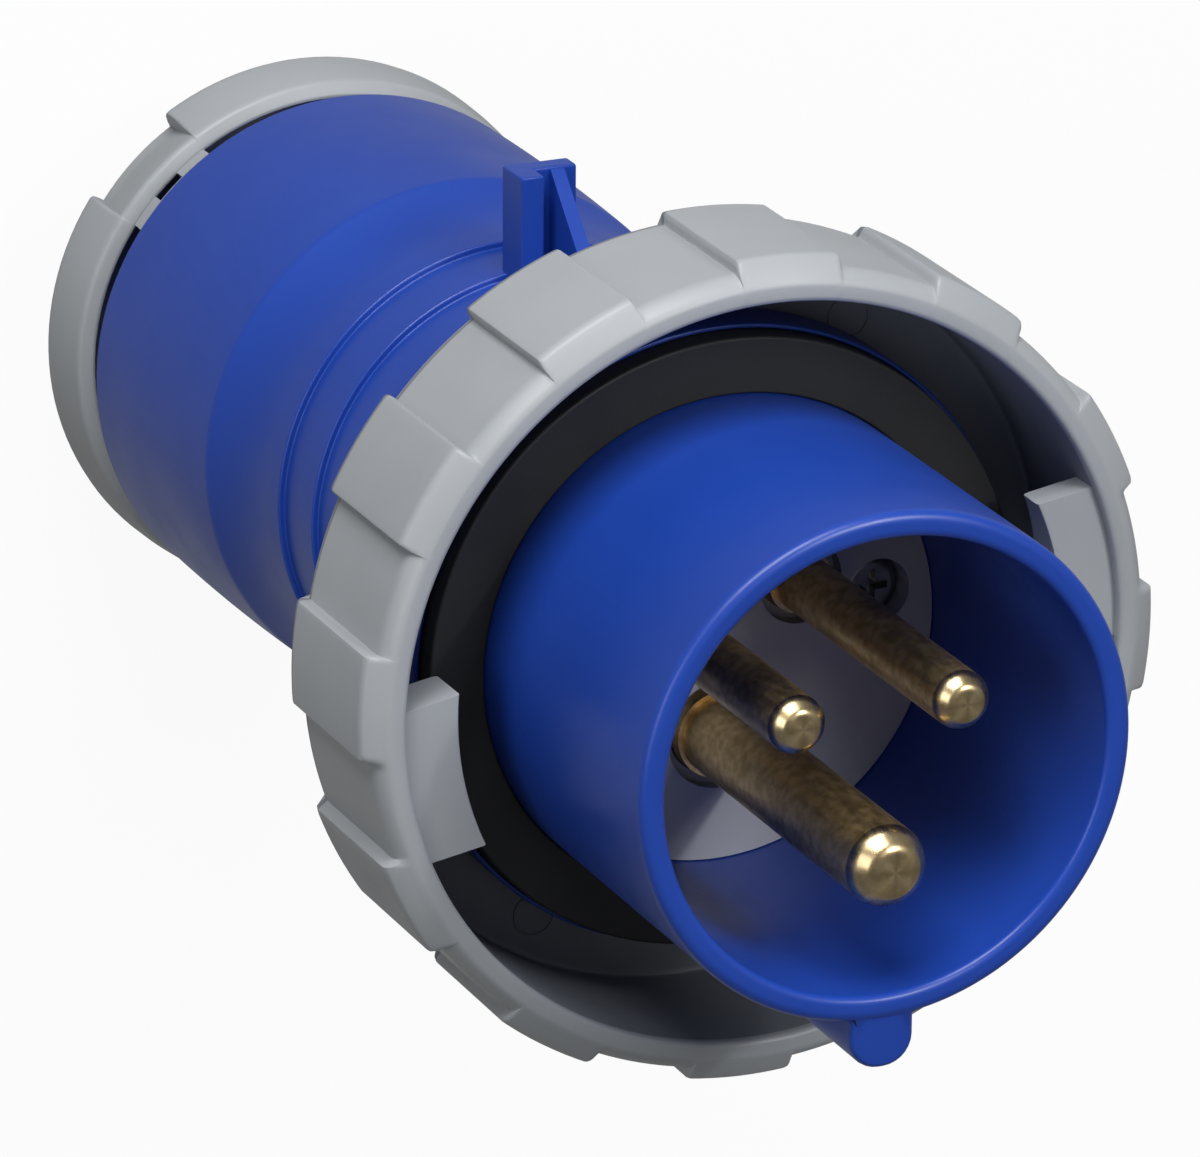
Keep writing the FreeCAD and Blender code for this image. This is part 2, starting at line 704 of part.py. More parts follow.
def pressure_plate(angle, bore):
    """A small plate in the wire hole, under the screw's tip."""
    thick = size.plate_thick.value
    width = size.plate_width.value
    length = size.plate_length.value
    outer_face = bore.value - size.terminal_bite_depth.value - size.thread_gap.value
    solid = Part.makeBox(thick, width, length)
    solid.translate(Vector(outer_face - thick, -width / 2, terminal_level.value - length / 2))
    return around_pin(solid, angle)


def around_pin(solid, angle):
    """Move a solid from the axis to the pin at an angle."""
    solid.translate(Vector(pin_circle.value, 0, 0))
    solid.rotate(Vector(0, 0, 0), Vector(0, 0, 1), number(angle))
    return solid


def housing_screw(x, y):
    """A pan-head screw down through the insert, with a cross recess."""
    seat = insert_face.value - size.screw_sink_depth.value
    head = size.screw_head_radius.value
    thick = size.screw_head_thick.value
    end = plate_back.value - size.screw_bite_length.value
    point = Vector(x.value, y.value, end)
    up = Vector(0, 0, 1)
    solid = Part.makeCylinder(size.screw_radius.value, seat - end, point, up)
    cap = Part.makeCylinder(head, thick, Vector(x.value, y.value, seat), up)
    top = [edge for edge in cap.Edges
           if edge.Curve.TypeId == "Part::GeomCircle" and edge.CenterOfMass.z > seat + thick / 2]
    cap = cap.makeFillet(thick / 2.5, top)
    bar = head / 4
    for length, width in ((head * 1.1, bar), (bar, head * 1.1)):
        cross = Part.makeBox(length, width, thick)
        cross.translate(Vector(x.value - length / 2, y.value - width / 2, seat + thick / 2))
        cap = cap.cut(cross)
    return solid.fuse(cap)


def plain_part(label, solids):
    """A node made of separate solids."""
    item = doc.addObject("Part::Feature", label)
    item.Label = label
    item.Shape = solids[0] if len(solids) == 1 else Part.makeCompound(solids)
    return item


def make_screws():
    angles = {name: (angle, bore) for name, (angle, radius, bore) in pin_places.items()}
    earth = angles["earth_pin"]
    phases = [angles["line_pin"], angles["neutral_pin"]]
    return [
        plain_part("phase_terminal_screws", [terminal_screw(*one) for one in phases]),
        plain_part("earth_terminal_screw", [terminal_screw(*earth)]),
        plain_part("pressure_plates", [pressure_plate(*one) for one in angles.values()]),
        plain_part("housing_screws", [housing_screw(x, y) for x, y in screw_places()]),
    ]


# Face gasket

def make_gasket():
    body = new_body("face_gasket")
    inner = size.sleeve_radius + size.fit_gap / 2
    sketch = new_sketch(body, "XY_Plane", "Washer", flange_top)
    draw_circle(sketch, 0.0, 0.0, gasket_radius)
    draw_circle(sketch, 0.0, 0.0, inner)
    extrude(body, sketch, size.gasket_thick)
    slot = new_sketch(body, "XY_Plane", "KeySlot", flange_top)
    half = size.key_width / 2 + size.fit_gap / 2
    foot = -(size.sleeve_radius - size.sleeve_wall / 2)
    top = -(size.sleeve_radius + size.key_height + size.fit_gap / 2)
    draw_outline(slot, [(half, foot), (-half, foot), (-half, top), (half, top)])
    extrude(body, slot, size.gasket_thick, "Pocket", reversed_way=True)
    return body


# Locking ring: grip lands outside, ramped bayonet lugs inside

def make_locking_ring():
    body = new_body("locking_ring")
    web_bore = skirt_radius + size.ring_play_gap
    bevel = size.ring_bevel_width
    revolve(body, [
        (web_bore, ring_back),
        (ring_outside - bevel / 2, ring_back),
        (ring_outside, ring_back + bevel),
        (ring_outside, ring_front - bevel),
        (ring_outside - bevel / 2, ring_front),
        (ring_bore, ring_front),
        (ring_bore, ring_back + size.web_thick),
        (web_bore, ring_back + size.web_thick),
    ])
    land = new_sketch(body, "XY_Plane", "Land", ring_back)
    half_land = size.land_angle / 2
    crown = ring_outside + size.land_height
    draw_sector(land, ring_outside - bevel, crown,
                size.first_land_angle - half_land, size.first_land_angle + half_land)
    raised = extrude(body, land, ring_length)
    repeat_round(body, [raised], size.land_count)
    bevel_lands(body, crown)

    lug_top = ring_front - size.lug_drop
    lug_back = lug_top - size.lug_thick
    half_lug = size.lug_width / 2
    lug = new_sketch(body, "YZ_Plane", "Lug", lug_face - bevel)
    draw_outline(lug, [
        (-half_lug, lug_back),
        (half_lug - size.lug_ramp_length, lug_back),
        (half_lug, lug_back + size.lug_ramp_height),
        (half_lug, lug_top),
        (-half_lug, lug_top),
    ])
    lug_pad = extrude(body, lug, ring_bore - lug_face + bevel * 1.5)
    repeat_round(body, [lug_pad], size.lug_count)
    way = new_sketch(body, "XY_Plane", "LugWay", ring_front)
    draw_circle(way, 0.0, 0.0, lug_face)
    extrude(body, way, size.lug_drop + size.lug_thick + bevel, "Pocket")

    slot = new_sketch(body, "XY_Plane", "StopSlot", ring_back)
    rest = -size.ring_rest_angle + QUARTER_TURN
    half_stop = size.stop_angle / 2
    slot_start = rest - half_stop - size.ring_travel_angle - size.stop_play_angle
    slot_end = rest + half_stop + size.stop_play_angle
    slot_outer = skirt_radius + size.stop_height + size.ring_play_gap * 4
    draw_sector(slot, skirt_radius - size.skirt_bead_height, slot_outer, slot_start, slot_end)
    extrude(body, slot, size.web_thick, "Pocket", reversed_way=True)
    place(body, 0.0, 0.0, size.ring_rest_angle)
    return body


def bevel_lands(body, crown):
    """Cut the bevels of the grip lands at the front and the back of the ring."""
    bevel = size.ring_bevel_width
    outside = crown + bevel
    sketch = new_sketch(body, "XZ_Plane", "LandBevel")
    inner = ring_outside - bevel / 2
    draw_outline(sketch, [
        (inner, ring_front),
        (crown, ring_front - bevel),
        (outside, ring_front - bevel),
        (outside, ring_front + bevel),
        (inner, ring_front + bevel),
    ])
    draw_outline(sketch, [
        (inner, ring_back),
        (inner, ring_back - bevel),
        (outside, ring_back - bevel),
        (outside, ring_back + bevel),
        (crown, ring_back + bevel),
    ])
    cut = body.newObject("PartDesign::Groove", "LandBevelCut")
    cut.Profile = sketch
    cut.ReferenceAxis = (sketch, ["V_Axis"])
    cut.Angle = 360
    finish_feature(body, cut)
    far = ring_outside.value + size.land_height.value * 0.6
    shortest = ring_length.value / 3

    def corner(edge):
        middle = edge.CenterOfMass
        return along_axis(edge, shortest) and (middle.x ** 2 + middle.y ** 2) ** 0.5 > far

    round_edges(body, corner, size.land_round_radius)


# Rear housing: bell, stepped waist, spigots and release tab

def make_rear_housing():
    body = new_body("rear_housing")
    band_one = waist_radius - size.waist_step_width
    recess_inner = collar_radius + size.tooth_height + size.fit_gap
    recess_outer = bell_back_radius - size.bell_lip_wall
    recess_top = bell_back + size.bell_recess_depth
    bell_inner = bell_front_radius - size.housing_wall
    taper_start = shoulder_level - size.bell_taper_length
    cone_end = shoulder_level + size.cove_length / 2
    revolve(body, [
        (gland_bore, spigot_back),
        (thread_radius, spigot_back),
        (thread_radius, bell_back - size.collar_length),
        (collar_radius, bell_back - size.collar_length),
        (collar_radius, bell_back),
        (recess_inner, bell_back),
        (recess_inner, recess_top),
        (recess_outer, recess_top),
        (recess_outer, bell_back),
        (bell_back_radius, bell_back, size.bell_crown_radius, "right"),
        (bell_front_radius, shoulder_level, size.cove_radius, "left"),
        (waist_radius, waist_level),
        (waist_radius, band_level),
        (band_one, band_level),
        (band_one, neck_level),
        (spigot_radius, neck_level),
        (spigot_radius, plate_back),
        (wiring_radius, plate_back),
        (wiring_radius, cone_end),
        (bell_inner, taper_start),
        (bell_inner, housing_web_top),
        (size.web_bore_radius, housing_web_top),
        (size.web_bore_radius, seal_top),
        (gland_bore, seal_top),
    ])

    for index, (x, y) in enumerate(screw_places()):
        boss = new_sketch(body, "XY_Plane", "Boss%d" % index, plate_back - size.boss_height)
        draw_circle(boss, x, y, size.boss_radius)
        extrude(body, boss, size.boss_height)
        rib = new_sketch(body, "XY_Plane", "BossRib%d" % index, plate_back - size.boss_height)
        middle = size.screw_angle if index == 0 else -size.screw_angle + HALF_TURN
        half_rib = size.boss_rib_angle / 2
        draw_sector(rib, screw_circle, wiring_radius + size.housing_wall / 2,
                    middle - half_rib, middle + half_rib)
        extrude(body, rib, size.boss_height)
        pilot = new_sketch(body, "XY_Plane", "Pilot%d" % index, plate_back)
        draw_circle(pilot, x, y, size.screw_radius + size.thread_gap)
        extrude(body, pilot, size.screw_bite_length, "Pocket")

    tooth = new_sketch(body, "XY_Plane", "Tooth", bell_back - size.collar_length)
    foot = collar_radius - size.tooth_height
    crest = collar_radius + size.tooth_height
    draw_outline(tooth, [
        turned(foot, 0.0),
        turned(crest, 0.0),
        turned(foot, size.tooth_angle),
    ])
    tooth_pad = extrude(body, tooth, size.collar_length)
    repeat_round(body, [tooth_pad], size.tooth_count)

    make_release_tab(body)

    groove = new_sketch(body, "XZ_Plane", "SealGroove")
    half = size.cord_radius + size.fit_gap
    depth = skirt_bore - size.cord_radius * 2 - size.fit_gap
    draw_outline(groove, [
        (depth, housing_groove_level - half),
        (spigot_radius + half, housing_groove_level - half),
        (spigot_radius + half, housing_groove_level + half),
        (depth, housing_groove_level + half),
    ])
    cut = body.newObject("PartDesign::Groove", "SealGrooveCut")
    cut.Profile = groove
    cut.ReferenceAxis = (groove, ["V_Axis"])
    cut.Angle = 360
    finish_feature(body, cut)
    return body


def make_release_tab(body):
    """A finger tab across the waist, with a post and a sloping rib in front of it."""
    foot = spigot_radius - size.housing_wall / 2
    half = size.tab_width / 2
    wall = new_sketch(body, "XY_Plane", "TabWall", tab_front - size.tab_thick)
    draw_outline(wall, [(-half, foot), (half, foot), (half, tab_reach), (-half, tab_reach)])
    extrude(body, wall, size.tab_thick)

    post = new_sketch(body, "XY_Plane", "TabPost", tab_front)
    draw_outline(post, [
        (-half, foot),
        (-half + size.tab_post_width, foot),
        (-half + size.tab_post_width, tab_reach),
        (-half, tab_reach),
    ])
    extrude(body, post, size.tab_post_thick)

    rib = new_sketch(body, "YZ_Plane", "TabRib", half - size.tab_rib_width * 1.5)
    rib_end = tab_front + size.tab_rib_length
    draw_outline(rib, [
        (foot, tab_front - size.tab_thick / 2),
        (tab_reach, tab_front - size.tab_thick / 2),
        (tab_reach, tab_front),
        (spigot_radius, rib_end),
        (foot, rib_end),
    ])
    extrude(body, rib, size.tab_rib_width, symmetric=True)


# Gland: nut, washer, cage and seal

def make_gland_nut():
    body = new_body("gland_nut")
    pad_radius = nut_root_radius + size.pad_height
    pad_front = size.nut_length - size.nut_bevel_length
    thread = thread_radius + size.nut_play_gap
    mouth = size.nut_length - size.nut_mouth_depth
    revolve(body, [
        (size.nut_cable_radius, size.nut_funnel_length),
        (size.nut_cable_radius + size.nut_funnel_width, 0.0),
        (nut_base_radius, 0.0),
        (nut_root_radius, size.nut_cone_length, size.pad_height, "right"),
        (pad_radius, size.nut_cone_length + size.pad_height),
        (pad_radius, pad_front),
        (nut_front_radius, size.nut_length),
        (nut_mouth_radius, size.nut_length),
        (nut_mouth_radius, mouth),
        (thread, mouth),
        (thread, size.nut_floor_thick),
        (size.nut_cable_radius, size.nut_floor_thick),
    ])
    notch_low = size.nut_cone_length - size.pad_height * 2
    notch = new_sketch(body, "XY_Plane", "Notch", notch_low)
    half = size.notch_angle / 2
    start = size.notch_place_angle - half
    end = size.notch_place_angle + half
    draw_sector(notch, nut_root_radius - size.fit_gap, pad_radius + size.pad_height, start, end)
    notch_front = pad_front + size.nut_bevel_length / 2
    notch_cut = extrude(body, notch, notch_front - notch_low, "Pocket", reversed_way=True)
    repeat_round(body, [notch_cut], size.notch_count)
    pawl = new_sketch(body, "XY_Plane", "Pawl", notch_front)
    pawl_outer = bell_back_radius - size.bell_lip_wall - size.pawl_gap
    pawl_inner = pawl_outer - size.pawl_wall
    draw_sector(pawl, pawl_inner, pawl_outer, start, end)
    pawl_pad = extrude(body, pawl, size.nut_length - notch_front + size.pawl_length)
    repeat_round(body, [pawl_pad], size.notch_count)
    slot = new_sketch(body, "XY_Plane", "PawlSlot", size.nut_length)
    half_slot = half / 2
    draw_sector(slot, pawl_inner - size.pawl_wall, pawl_outer + size.pawl_wall,
                size.notch_place_angle - half_slot, size.notch_place_angle + half_slot)
    slot_cut = extrude(body, slot, size.pawl_slot_depth, "Pocket", reversed_way=True)
    repeat_round(body, [slot_cut], size.notch_count)
    return body


def washer(label, inner, outer, low, high):
    """A plain flat ring."""
    body = new_body(label)
    sketch = new_sketch(body, "XY_Plane", "Washer", low)
    draw_circle(sketch, 0.0, 0.0, outer)
    draw_circle(sketch, 0.0, 0.0, inner)
    extrude(body, sketch, high - low)
    return body


def make_clamp_cage():
    body = new_body("clamp_cage")
    finger_outer = gland_bore - size.rubber_gap
    finger_inner = finger_outer - size.finger_wall
    finger_top = spigot_back + size.finger_length
    revolve(body, [
        (size.cage_bore_radius, cage_back),
        (cage_flange_radius, cage_back),
        (cage_flange_radius, spigot_back),
        (finger_outer, spigot_back),
        (finger_outer, finger_top),
        (finger_inner, finger_top),
        (finger_inner, spigot_back),
        (size.cage_bore_radius, spigot_back),
    ])
    gap = new_sketch(body, "XY_Plane", "FingerGap", spigot_back)
    half = size.finger_slot_width / 2
    draw_outline(gap, [
        (finger_inner - size.finger_wall, -half),
        (cage_flange_radius, -half),
        (cage_flange_radius, half),
        (finger_inner - size.finger_wall, half),
    ])
    gap_cut = extrude(body, gap, size.finger_length, "Pocket", reversed_way=True)
    repeat_round(body, [gap_cut], size.finger_count)
    return body


def make_gland_seal():
    body = new_body("gland_seal")
    low = spigot_back
    finger_top = spigot_back + size.finger_length
    narrow = gland_bore - size.finger_wall - size.rubber_gap * 2
    wide = gland_bore - size.rubber_gap
    revolve(body, [
        (size.seal_bore_radius, low),
        (narrow, low),
        (narrow, finger_top + size.rubber_gap),
        (wide, finger_top + size.rubber_gap),
        (wide, seal_top),
        (size.seal_bore_radius, seal_top),
    ])
    return body


def make_seal_insert():
    outer = size.seal_bore_radius - size.fit_gap / 2
    return washer("seal_insert", size.cable_radius, outer, spigot_back, seal_top)


# Build everything, check it and write one file for each piece

def build_all():
    parts = [make_front_body(), make_contact_carrier(), make_back_plate()]
    parts += [make_pin(label) for label in pin_places]
    parts += make_screws()
    parts.append(make_gasket())
    carrier_cord = insert_bore - size.fit_gap + size.cord_radius
    parts.append(o_ring("carrier_seal", carrier_cord, seal_groove_level))
    housing_cord = skirt_bore - size.cord_radius - size.fit_gap / 4
    parts.append(o_ring("housing_o_ring", housing_cord, housing_groove_level))
    parts.append(make_locking_ring())
    parts.append(make_rear_housing())
    parts.append(make_gland_nut())
    washer_back = size.nut_floor_thick
    parts.append(washer("thrust_washer", size.nut_cable_radius, washer_radius,
                        washer_back, washer_back + size.washer_thick))
    parts.append(make_clamp_cage())
    parts.append(make_gland_seal())
    parts.append(make_seal_insert())
    return parts


def check_and_write(parts):
    """Stop on any failed object, then write the STEP files."""
    doc.recompute()
    for item in doc.Objects:
        if "Invalid" in item.State or "Error" in item.State:
            raise RuntimeError("failed object: %s %s" % (item.Name, item.State))
    os.makedirs("parts", exist_ok=True)
    for part in parts:
        shape = part.Shape
        if shape.isNull() or not shape.isValid() or not shape.Solids:
            raise RuntimeError("bad shape: " + part.Label)
        shape.exportStep(os.path.join("parts", part.Label + ".step"))
        print("%-24s solids %d  volume %10.2f  z %.2f to %.2f" % (
            part.Label, len(shape.Solids), shape.Volume, shape.BoundBox.ZMin, shape.BoundBox.ZMax))


check_and_write(build_all())
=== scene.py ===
"""Looks of the industrial pin and sleeve plug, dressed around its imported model.

The shapes are sized in millimetres in the row's frame: Z is the plug's axis, 0 is the back of the
gland nut, and the key rib points to -Y. SCALE turns them into metres. Angles are in degrees round
the axis, from +X towards +Y. Lights, the camera's clip and texture scales are in metres.
"""
import math

import bmesh
import bpy
import numpy as np
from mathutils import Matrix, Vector


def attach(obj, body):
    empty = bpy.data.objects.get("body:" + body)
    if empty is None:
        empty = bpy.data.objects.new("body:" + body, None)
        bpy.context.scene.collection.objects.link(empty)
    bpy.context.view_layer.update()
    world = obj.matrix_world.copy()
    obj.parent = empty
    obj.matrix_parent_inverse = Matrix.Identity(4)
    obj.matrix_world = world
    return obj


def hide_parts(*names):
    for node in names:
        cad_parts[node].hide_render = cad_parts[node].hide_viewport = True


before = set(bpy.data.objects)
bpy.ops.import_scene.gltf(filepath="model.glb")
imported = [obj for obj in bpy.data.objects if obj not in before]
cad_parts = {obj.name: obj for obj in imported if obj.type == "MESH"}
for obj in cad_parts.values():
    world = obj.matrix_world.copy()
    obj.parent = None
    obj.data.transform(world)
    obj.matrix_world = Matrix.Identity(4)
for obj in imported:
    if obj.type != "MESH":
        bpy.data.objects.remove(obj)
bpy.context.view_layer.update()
SCALE = 0.001

# Sizes that several pieces share
SLEEVE_RADIUS = 22.0
SLEEVE_BORE = 19.8
SLEEVE_ROOT = 103.0
RIM = 138.0
ROUND_SAMPLES = 181


# Mesh helpers

def mesh_object(name, points, faces, material, sharp=35.0):
    """A mesh piece from points in millimetres, shaded smooth up to an angle."""
    mesh = bpy.data.meshes.new(name)
    mesh.from_pydata([tuple(p) for p in np.asarray(points) * SCALE], [], faces)
    mesh.validate()
    mesh.update()
    piece = bpy.data.objects.new(name, mesh)
    bpy.context.scene.collection.objects.link(piece)
    mesh.materials.append(material)
    mesh.shade_smooth()
    mesh.set_sharp_from_angle(angle=math.radians(sharp))
    weighted = piece.modifiers.new("Normals", "WEIGHTED_NORMAL")
    weighted.keep_sharp = True
    return piece


def loft_mesh(rings):
    """Points and quads of a band of closed rings whose last ring meets the first."""
    rings = np.asarray(rings)
    stations, count, _ = rings.shape
    points = rings.reshape(-1, 3)
    faces = []
    for s in range(stations):
        nxt = (s + 1) % stations
        for k in range(count):
            far = (k + 1) % count
            quad = (s * count + k, s * count + far, nxt * count + far, nxt * count + k)
            faces.append(quad)
    return points, faces


def join_parts(parts):
    """One list of points and faces from several."""
    points, faces = [], []
    base = 0
    for part_points, part_faces in parts:
        points.append(np.asarray(part_points, float))
        faces += [tuple(i + base for i in face) for face in part_faces]
        base += len(part_points)
    return np.vstack(points), faces


def turn_between(start, end):
    """The start's angle and the shorter turn from one 2-D arm to another, in radians."""
    first = math.atan2(start[1], start[0])
    turn = math.atan2(end[1], end[0]) - first
    return first, (turn + math.pi) % (2 * math.pi) - math.pi


def soften(corners, steps=4):
    """A path of (r, z) with each (r, z, radius) corner turned into a small arc. The path closes."""
    most = 0.49
    path = []
    count = len(corners)
    for i, corner in enumerate(corners):
        here = np.array(corner[:2], float)
        radius = corner[2] if len(corner) > 2 else 0.0
        if radius <= 0:
            path.append(here)
            continue
        before = np.array(corners[i - 1][:2], float) - here
        after = np.array(corners[(i + 1) % count][:2], float) - here
        length_before, length_after = np.linalg.norm(before), np.linalg.norm(after)
        to_before, to_after = before / length_before, after / length_after
        half = math.acos(max(-1.0, min(1.0, float(to_before @ to_after)))) / 2
        reach = min(radius / math.tan(half), length_before * most, length_after * most)
        radius = reach * math.tan(half)
        bisector = (to_before + to_after) / np.linalg.norm(to_before + to_after)
        centre = here + bisector * radius / math.sin(half)
        first, turn = turn_between(here + to_before * reach - centre,
                                   here + to_after * reach - centre)
        for k in range(steps + 1):
            a = first + turn * k / steps
            path.append(centre + radius * np.array([math.cos(a), math.sin(a)]))
    return path


def arc_points(start, end, radius, bulge, steps):
    """Points along an arc between two (r, z) points, without its ends. bulge 1 is outwards."""
    start, end = np.array(start, float), np.array(end, float)
    chord = end - start
    half = np.linalg.norm(chord) / 2
    side = np.array([chord[1], -chord[0]]) / (2 * half) * bulge
    centre = (start + end) / 2 - side * math.sqrt(radius ** 2 - half ** 2)
    first, turn = turn_between(start - centre, end - centre)
    angles = [first + turn * k / steps for k in range(1, steps)]
    return [tuple(centre + radius * np.array([math.cos(a), math.sin(a)])) for a in angles]


def circle_ring(radius, height, angles):
    """One ring of points. Radius and height are numbers, or have a value for each angle."""
    a = np.radians(angles)
    r = np.broadcast_to(radius, a.shape)
    z = np.broadcast_to(height, a.shape)
    return np.stack([r * np.cos(a), r * np.sin(a), z], axis=1)


def stepped_ring(low, high, height, angles):
    """A ring that goes from the low (r, z) to the high one as height goes from 0 to 1."""
    r = low[0] + (high[0] - low[0]) * height
    z = low[1] + (high[1] - low[1]) * height
    return circle_ring(r, z, angles)


def lathe(path, count):
    """A turned closed section."""
    angles = np.arange(count) * 360.0 / count
    return loft_mesh([circle_ring(r, z, angles) for r, z in path])


def fit_piece(piece, body, node):
    """Let a piece ride on its body and stand in for its CAD node."""
    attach(piece, body)
    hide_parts(node)


def paint_shade_inside(piece, is_inside):
    """Give the second material, the grey darkened as painted shade, to each face whose middle
    (radius, z), in mm, lies inside.
    """
    piece.data.materials.append(PAINTED_SHADE)
    for face in piece.data.polygons:
        reach = math.hypot(face.center.x, face.center.y) / SCALE
        if is_inside(reach, face.center.z / SCALE):
            face.material_index = 1


# Materials: moulded plastic, rubber, brass and steel

NOISE_SPAN = (0.3, 0.7)
PLASTIC_CLOUD, PLASTIC_PATCH, PLASTIC_GRAIN = 45.0, 140.0, 3200.0
PLASTIC_GRAIN_DEPTH = 0.00004
RUBBER_CLOUD, RUBBER_GRAIN = 90.0, 2600.0
RUBBER_GRAIN_DEPTH = 0.00005
BRASS_CLOUD = 1100.0
BRASS_CLOUD_SPAN = (0.36, 0.62)
BRASS_MARKS = (1400.0, 1400.0, 420.0)
BRASS_MARK_DEPTH = 0.00003
STEEL_CLOUD = 700.0


def object_coords(nodes):
    """Coordinates in metres that go with the piece."""
    return nodes.new("ShaderNodeTexCoord").outputs["Object"]

def new_material(name):
    """A material with its nodes, its links and its Principled shader."""
    material = bpy.data.materials.new(name)
    material.use_nodes = True
    nodes = material.node_tree.nodes
    shader = nodes["Principled BSDF"]
    return material, nodes, material.node_tree.links, shader


def noise(nodes, links, scale, detail, coords):
    """Noise with so many cells to the metre."""
    node = nodes.new("ShaderNodeTexNoise")
    node.inputs["Scale"].default_value = scale
    node.inputs["Detail"].default_value = detail
    links.new(coords, node.inputs["Vector"])
    return node


def ramp(nodes, links, value, low, high, positions=NOISE_SPAN):
    """A colour between two, where a noise goes from one position to the other."""
    node = nodes.new("ShaderNodeValToRGB")
    node.color_ramp.elements[0].position = positions[0]
    node.color_ramp.elements[1].position = positions[1]
    node.color_ramp.elements[0].color = (*low, 1)
    node.color_ramp.elements[1].color = (*high, 1)
    links.new(value, node.inputs["Fac"])
    return node


def span(nodes, links, value, low, high):
    """A value between low and high, driven by a noise."""
    node = nodes.new("ShaderNodeMapRange")
    node.inputs["From Min"].default_value = NOISE_SPAN[0]
    node.inputs["From Max"].default_value = NOISE_SPAN[1]
    node.inputs["To Min"].default_value = low
    node.inputs["To Max"].default_value = high
    links.new(value, node.inputs["Value"])
    return node


def add_bump(nodes, links, shader, height, strength, depth):
    """Grain from a height socket, with its depth in metres."""
    bump = nodes.new("ShaderNodeBump")
    bump.inputs["Strength"].default_value = strength
    bump.inputs["Distance"].default_value = depth
    links.new(height, bump.inputs["Height"])
    links.new(bump.outputs["Normal"], shader.inputs["Normal"])


def plastic(name, low, high, rough, grain):
    """Moulded plastic: faint cloudy colour, uneven gloss, and grain of the given strength."""
    material, nodes, links, shader = new_material(name)
    coords = object_coords(nodes)
    cloud = noise(nodes, links, PLASTIC_CLOUD, 3.0, coords)
    fine = noise(nodes, links, PLASTIC_GRAIN, 2.0, coords)
    links.new(ramp(nodes, links, cloud.outputs["Fac"], low, high).outputs["Color"],
              shader.inputs["Base Color"])
    patch = noise(nodes, links, PLASTIC_PATCH, 4.0, coords)
    links.new(span(nodes, links, patch.outputs["Fac"], *rough).outputs["Result"],
              shader.inputs["Roughness"])
    add_bump(nodes, links, shader, fine.outputs["Fac"], grain, PLASTIC_GRAIN_DEPTH)
    shader.inputs["Specular IOR Level"].default_value = 0.45
    return material


def rubber(name):
    """Matte black rubber with a fine grain."""
    material, nodes, links, shader = new_material(name)
    coords = object_coords(nodes)
    cloud = noise(nodes, links, RUBBER_CLOUD, 4.0, coords)
    fine = noise(nodes, links, RUBBER_GRAIN, 3.0, coords)
    links.new(ramp(nodes, links, cloud.outputs["Fac"], (0.009, 0.009, 0.010),
                   (0.016, 0.016, 0.017)).outputs["Color"], shader.inputs["Base Color"])
    links.new(span(nodes, links, cloud.outputs["Fac"], 0.55, 0.7).outputs["Result"],
              shader.inputs["Roughness"])
    add_bump(nodes, links, shader, fine.outputs["Fac"], 0.25, RUBBER_GRAIN_DEPTH)
    return material


def brass(name, low, high, rough, painted_petals=False):
    """Brass with drawn marks along the pin, and if asked for, a faced end's petals of reflection
    painted into its colour.
    """
    material, nodes, links, shader = new_material(name)
    coords = object_coords(nodes)
    stretch = nodes.new("ShaderNodeMapping")
    stretch.inputs["Scale"].default_value = BRASS_MARKS
    links.new(coords, stretch.inputs["Vector"])
    marks = noise(nodes, links, 1.0, 4.0, stretch.outputs["Vector"])
    cloud = noise(nodes, links, BRASS_CLOUD, 5.0, coords)
    colour = ramp(nodes, links, cloud.outputs["Fac"], low, high, BRASS_CLOUD_SPAN).outputs["Color"]
    if painted_petals:
        colour = paint_end_reflection(nodes, links, colour)
    links.new(colour, shader.inputs["Base Color"])
    links.new(span(nodes, links, marks.outputs["Fac"], *rough).outputs["Result"],
              shader.inputs["Roughness"])
    shader.inputs["Metallic"].default_value = 1.0
    add_bump(nodes, links, shader, marks.outputs["Fac"], 0.15, BRASS_MARK_DEPTH)
    return material


def paint_end_reflection(nodes, links, colour, petals=4.0, darkest=0.62):
    """Darken a colour in petals round the piece's own axis: a painted reflection, the bow-tie that
    light makes on a faced end.
    """
    half_petal = 0.5 / petals
    box_coords = nodes.new("ShaderNodeTexCoord").outputs["Generated"]
    centred = nodes.new("ShaderNodeMapping")
    centred.inputs["Location"].default_value = (-0.5, -0.5, 0.0)
    links.new(box_coords, centred.inputs["Vector"])
    angle = nodes.new("ShaderNodeTexGradient")
    angle.gradient_type = "RADIAL"
    links.new(centred.outputs["Vector"], angle.inputs["Vector"])
    wave = nodes.new("ShaderNodeMath")
    wave.operation = "PINGPONG"
    wave.inputs[1].default_value = half_petal
    links.new(angle.outputs["Fac"], wave.inputs[0])
    shade = nodes.new("ShaderNodeMapRange")
    shade.inputs["From Max"].default_value = half_petal
    shade.inputs["To Min"].default_value = darkest
    shade.inputs["To Max"].default_value = 1.0
    links.new(wave.outputs["Value"], shade.inputs["Value"])
    mixed = nodes.new("ShaderNodeVectorMath")
    mixed.operation = "SCALE"
    links.new(colour, mixed.inputs[0])
    links.new(shade.outputs["Result"], mixed.inputs["Scale"])
    return mixed.outputs["Vector"]


def steel(name):
    """Plated steel with a cloudy dullness."""
    material, nodes, links, shader = new_material(name)
    coords = object_coords(nodes)
    cloud = noise(nodes, links, STEEL_CLOUD, 4.0, coords)
    links.new(ramp(nodes, links, cloud.outputs["Fac"], (0.22, 0.22, 0.22),
                   (0.34, 0.34, 0.33)).outputs["Color"], shader.inputs["Base Color"])
    links.new(span(nodes, links, cloud.outputs["Fac"], 0.28, 0.45).outputs["Result"],
              shader.inputs["Roughness"])
    shader.inputs["Metallic"].default_value = 1.0
    return material


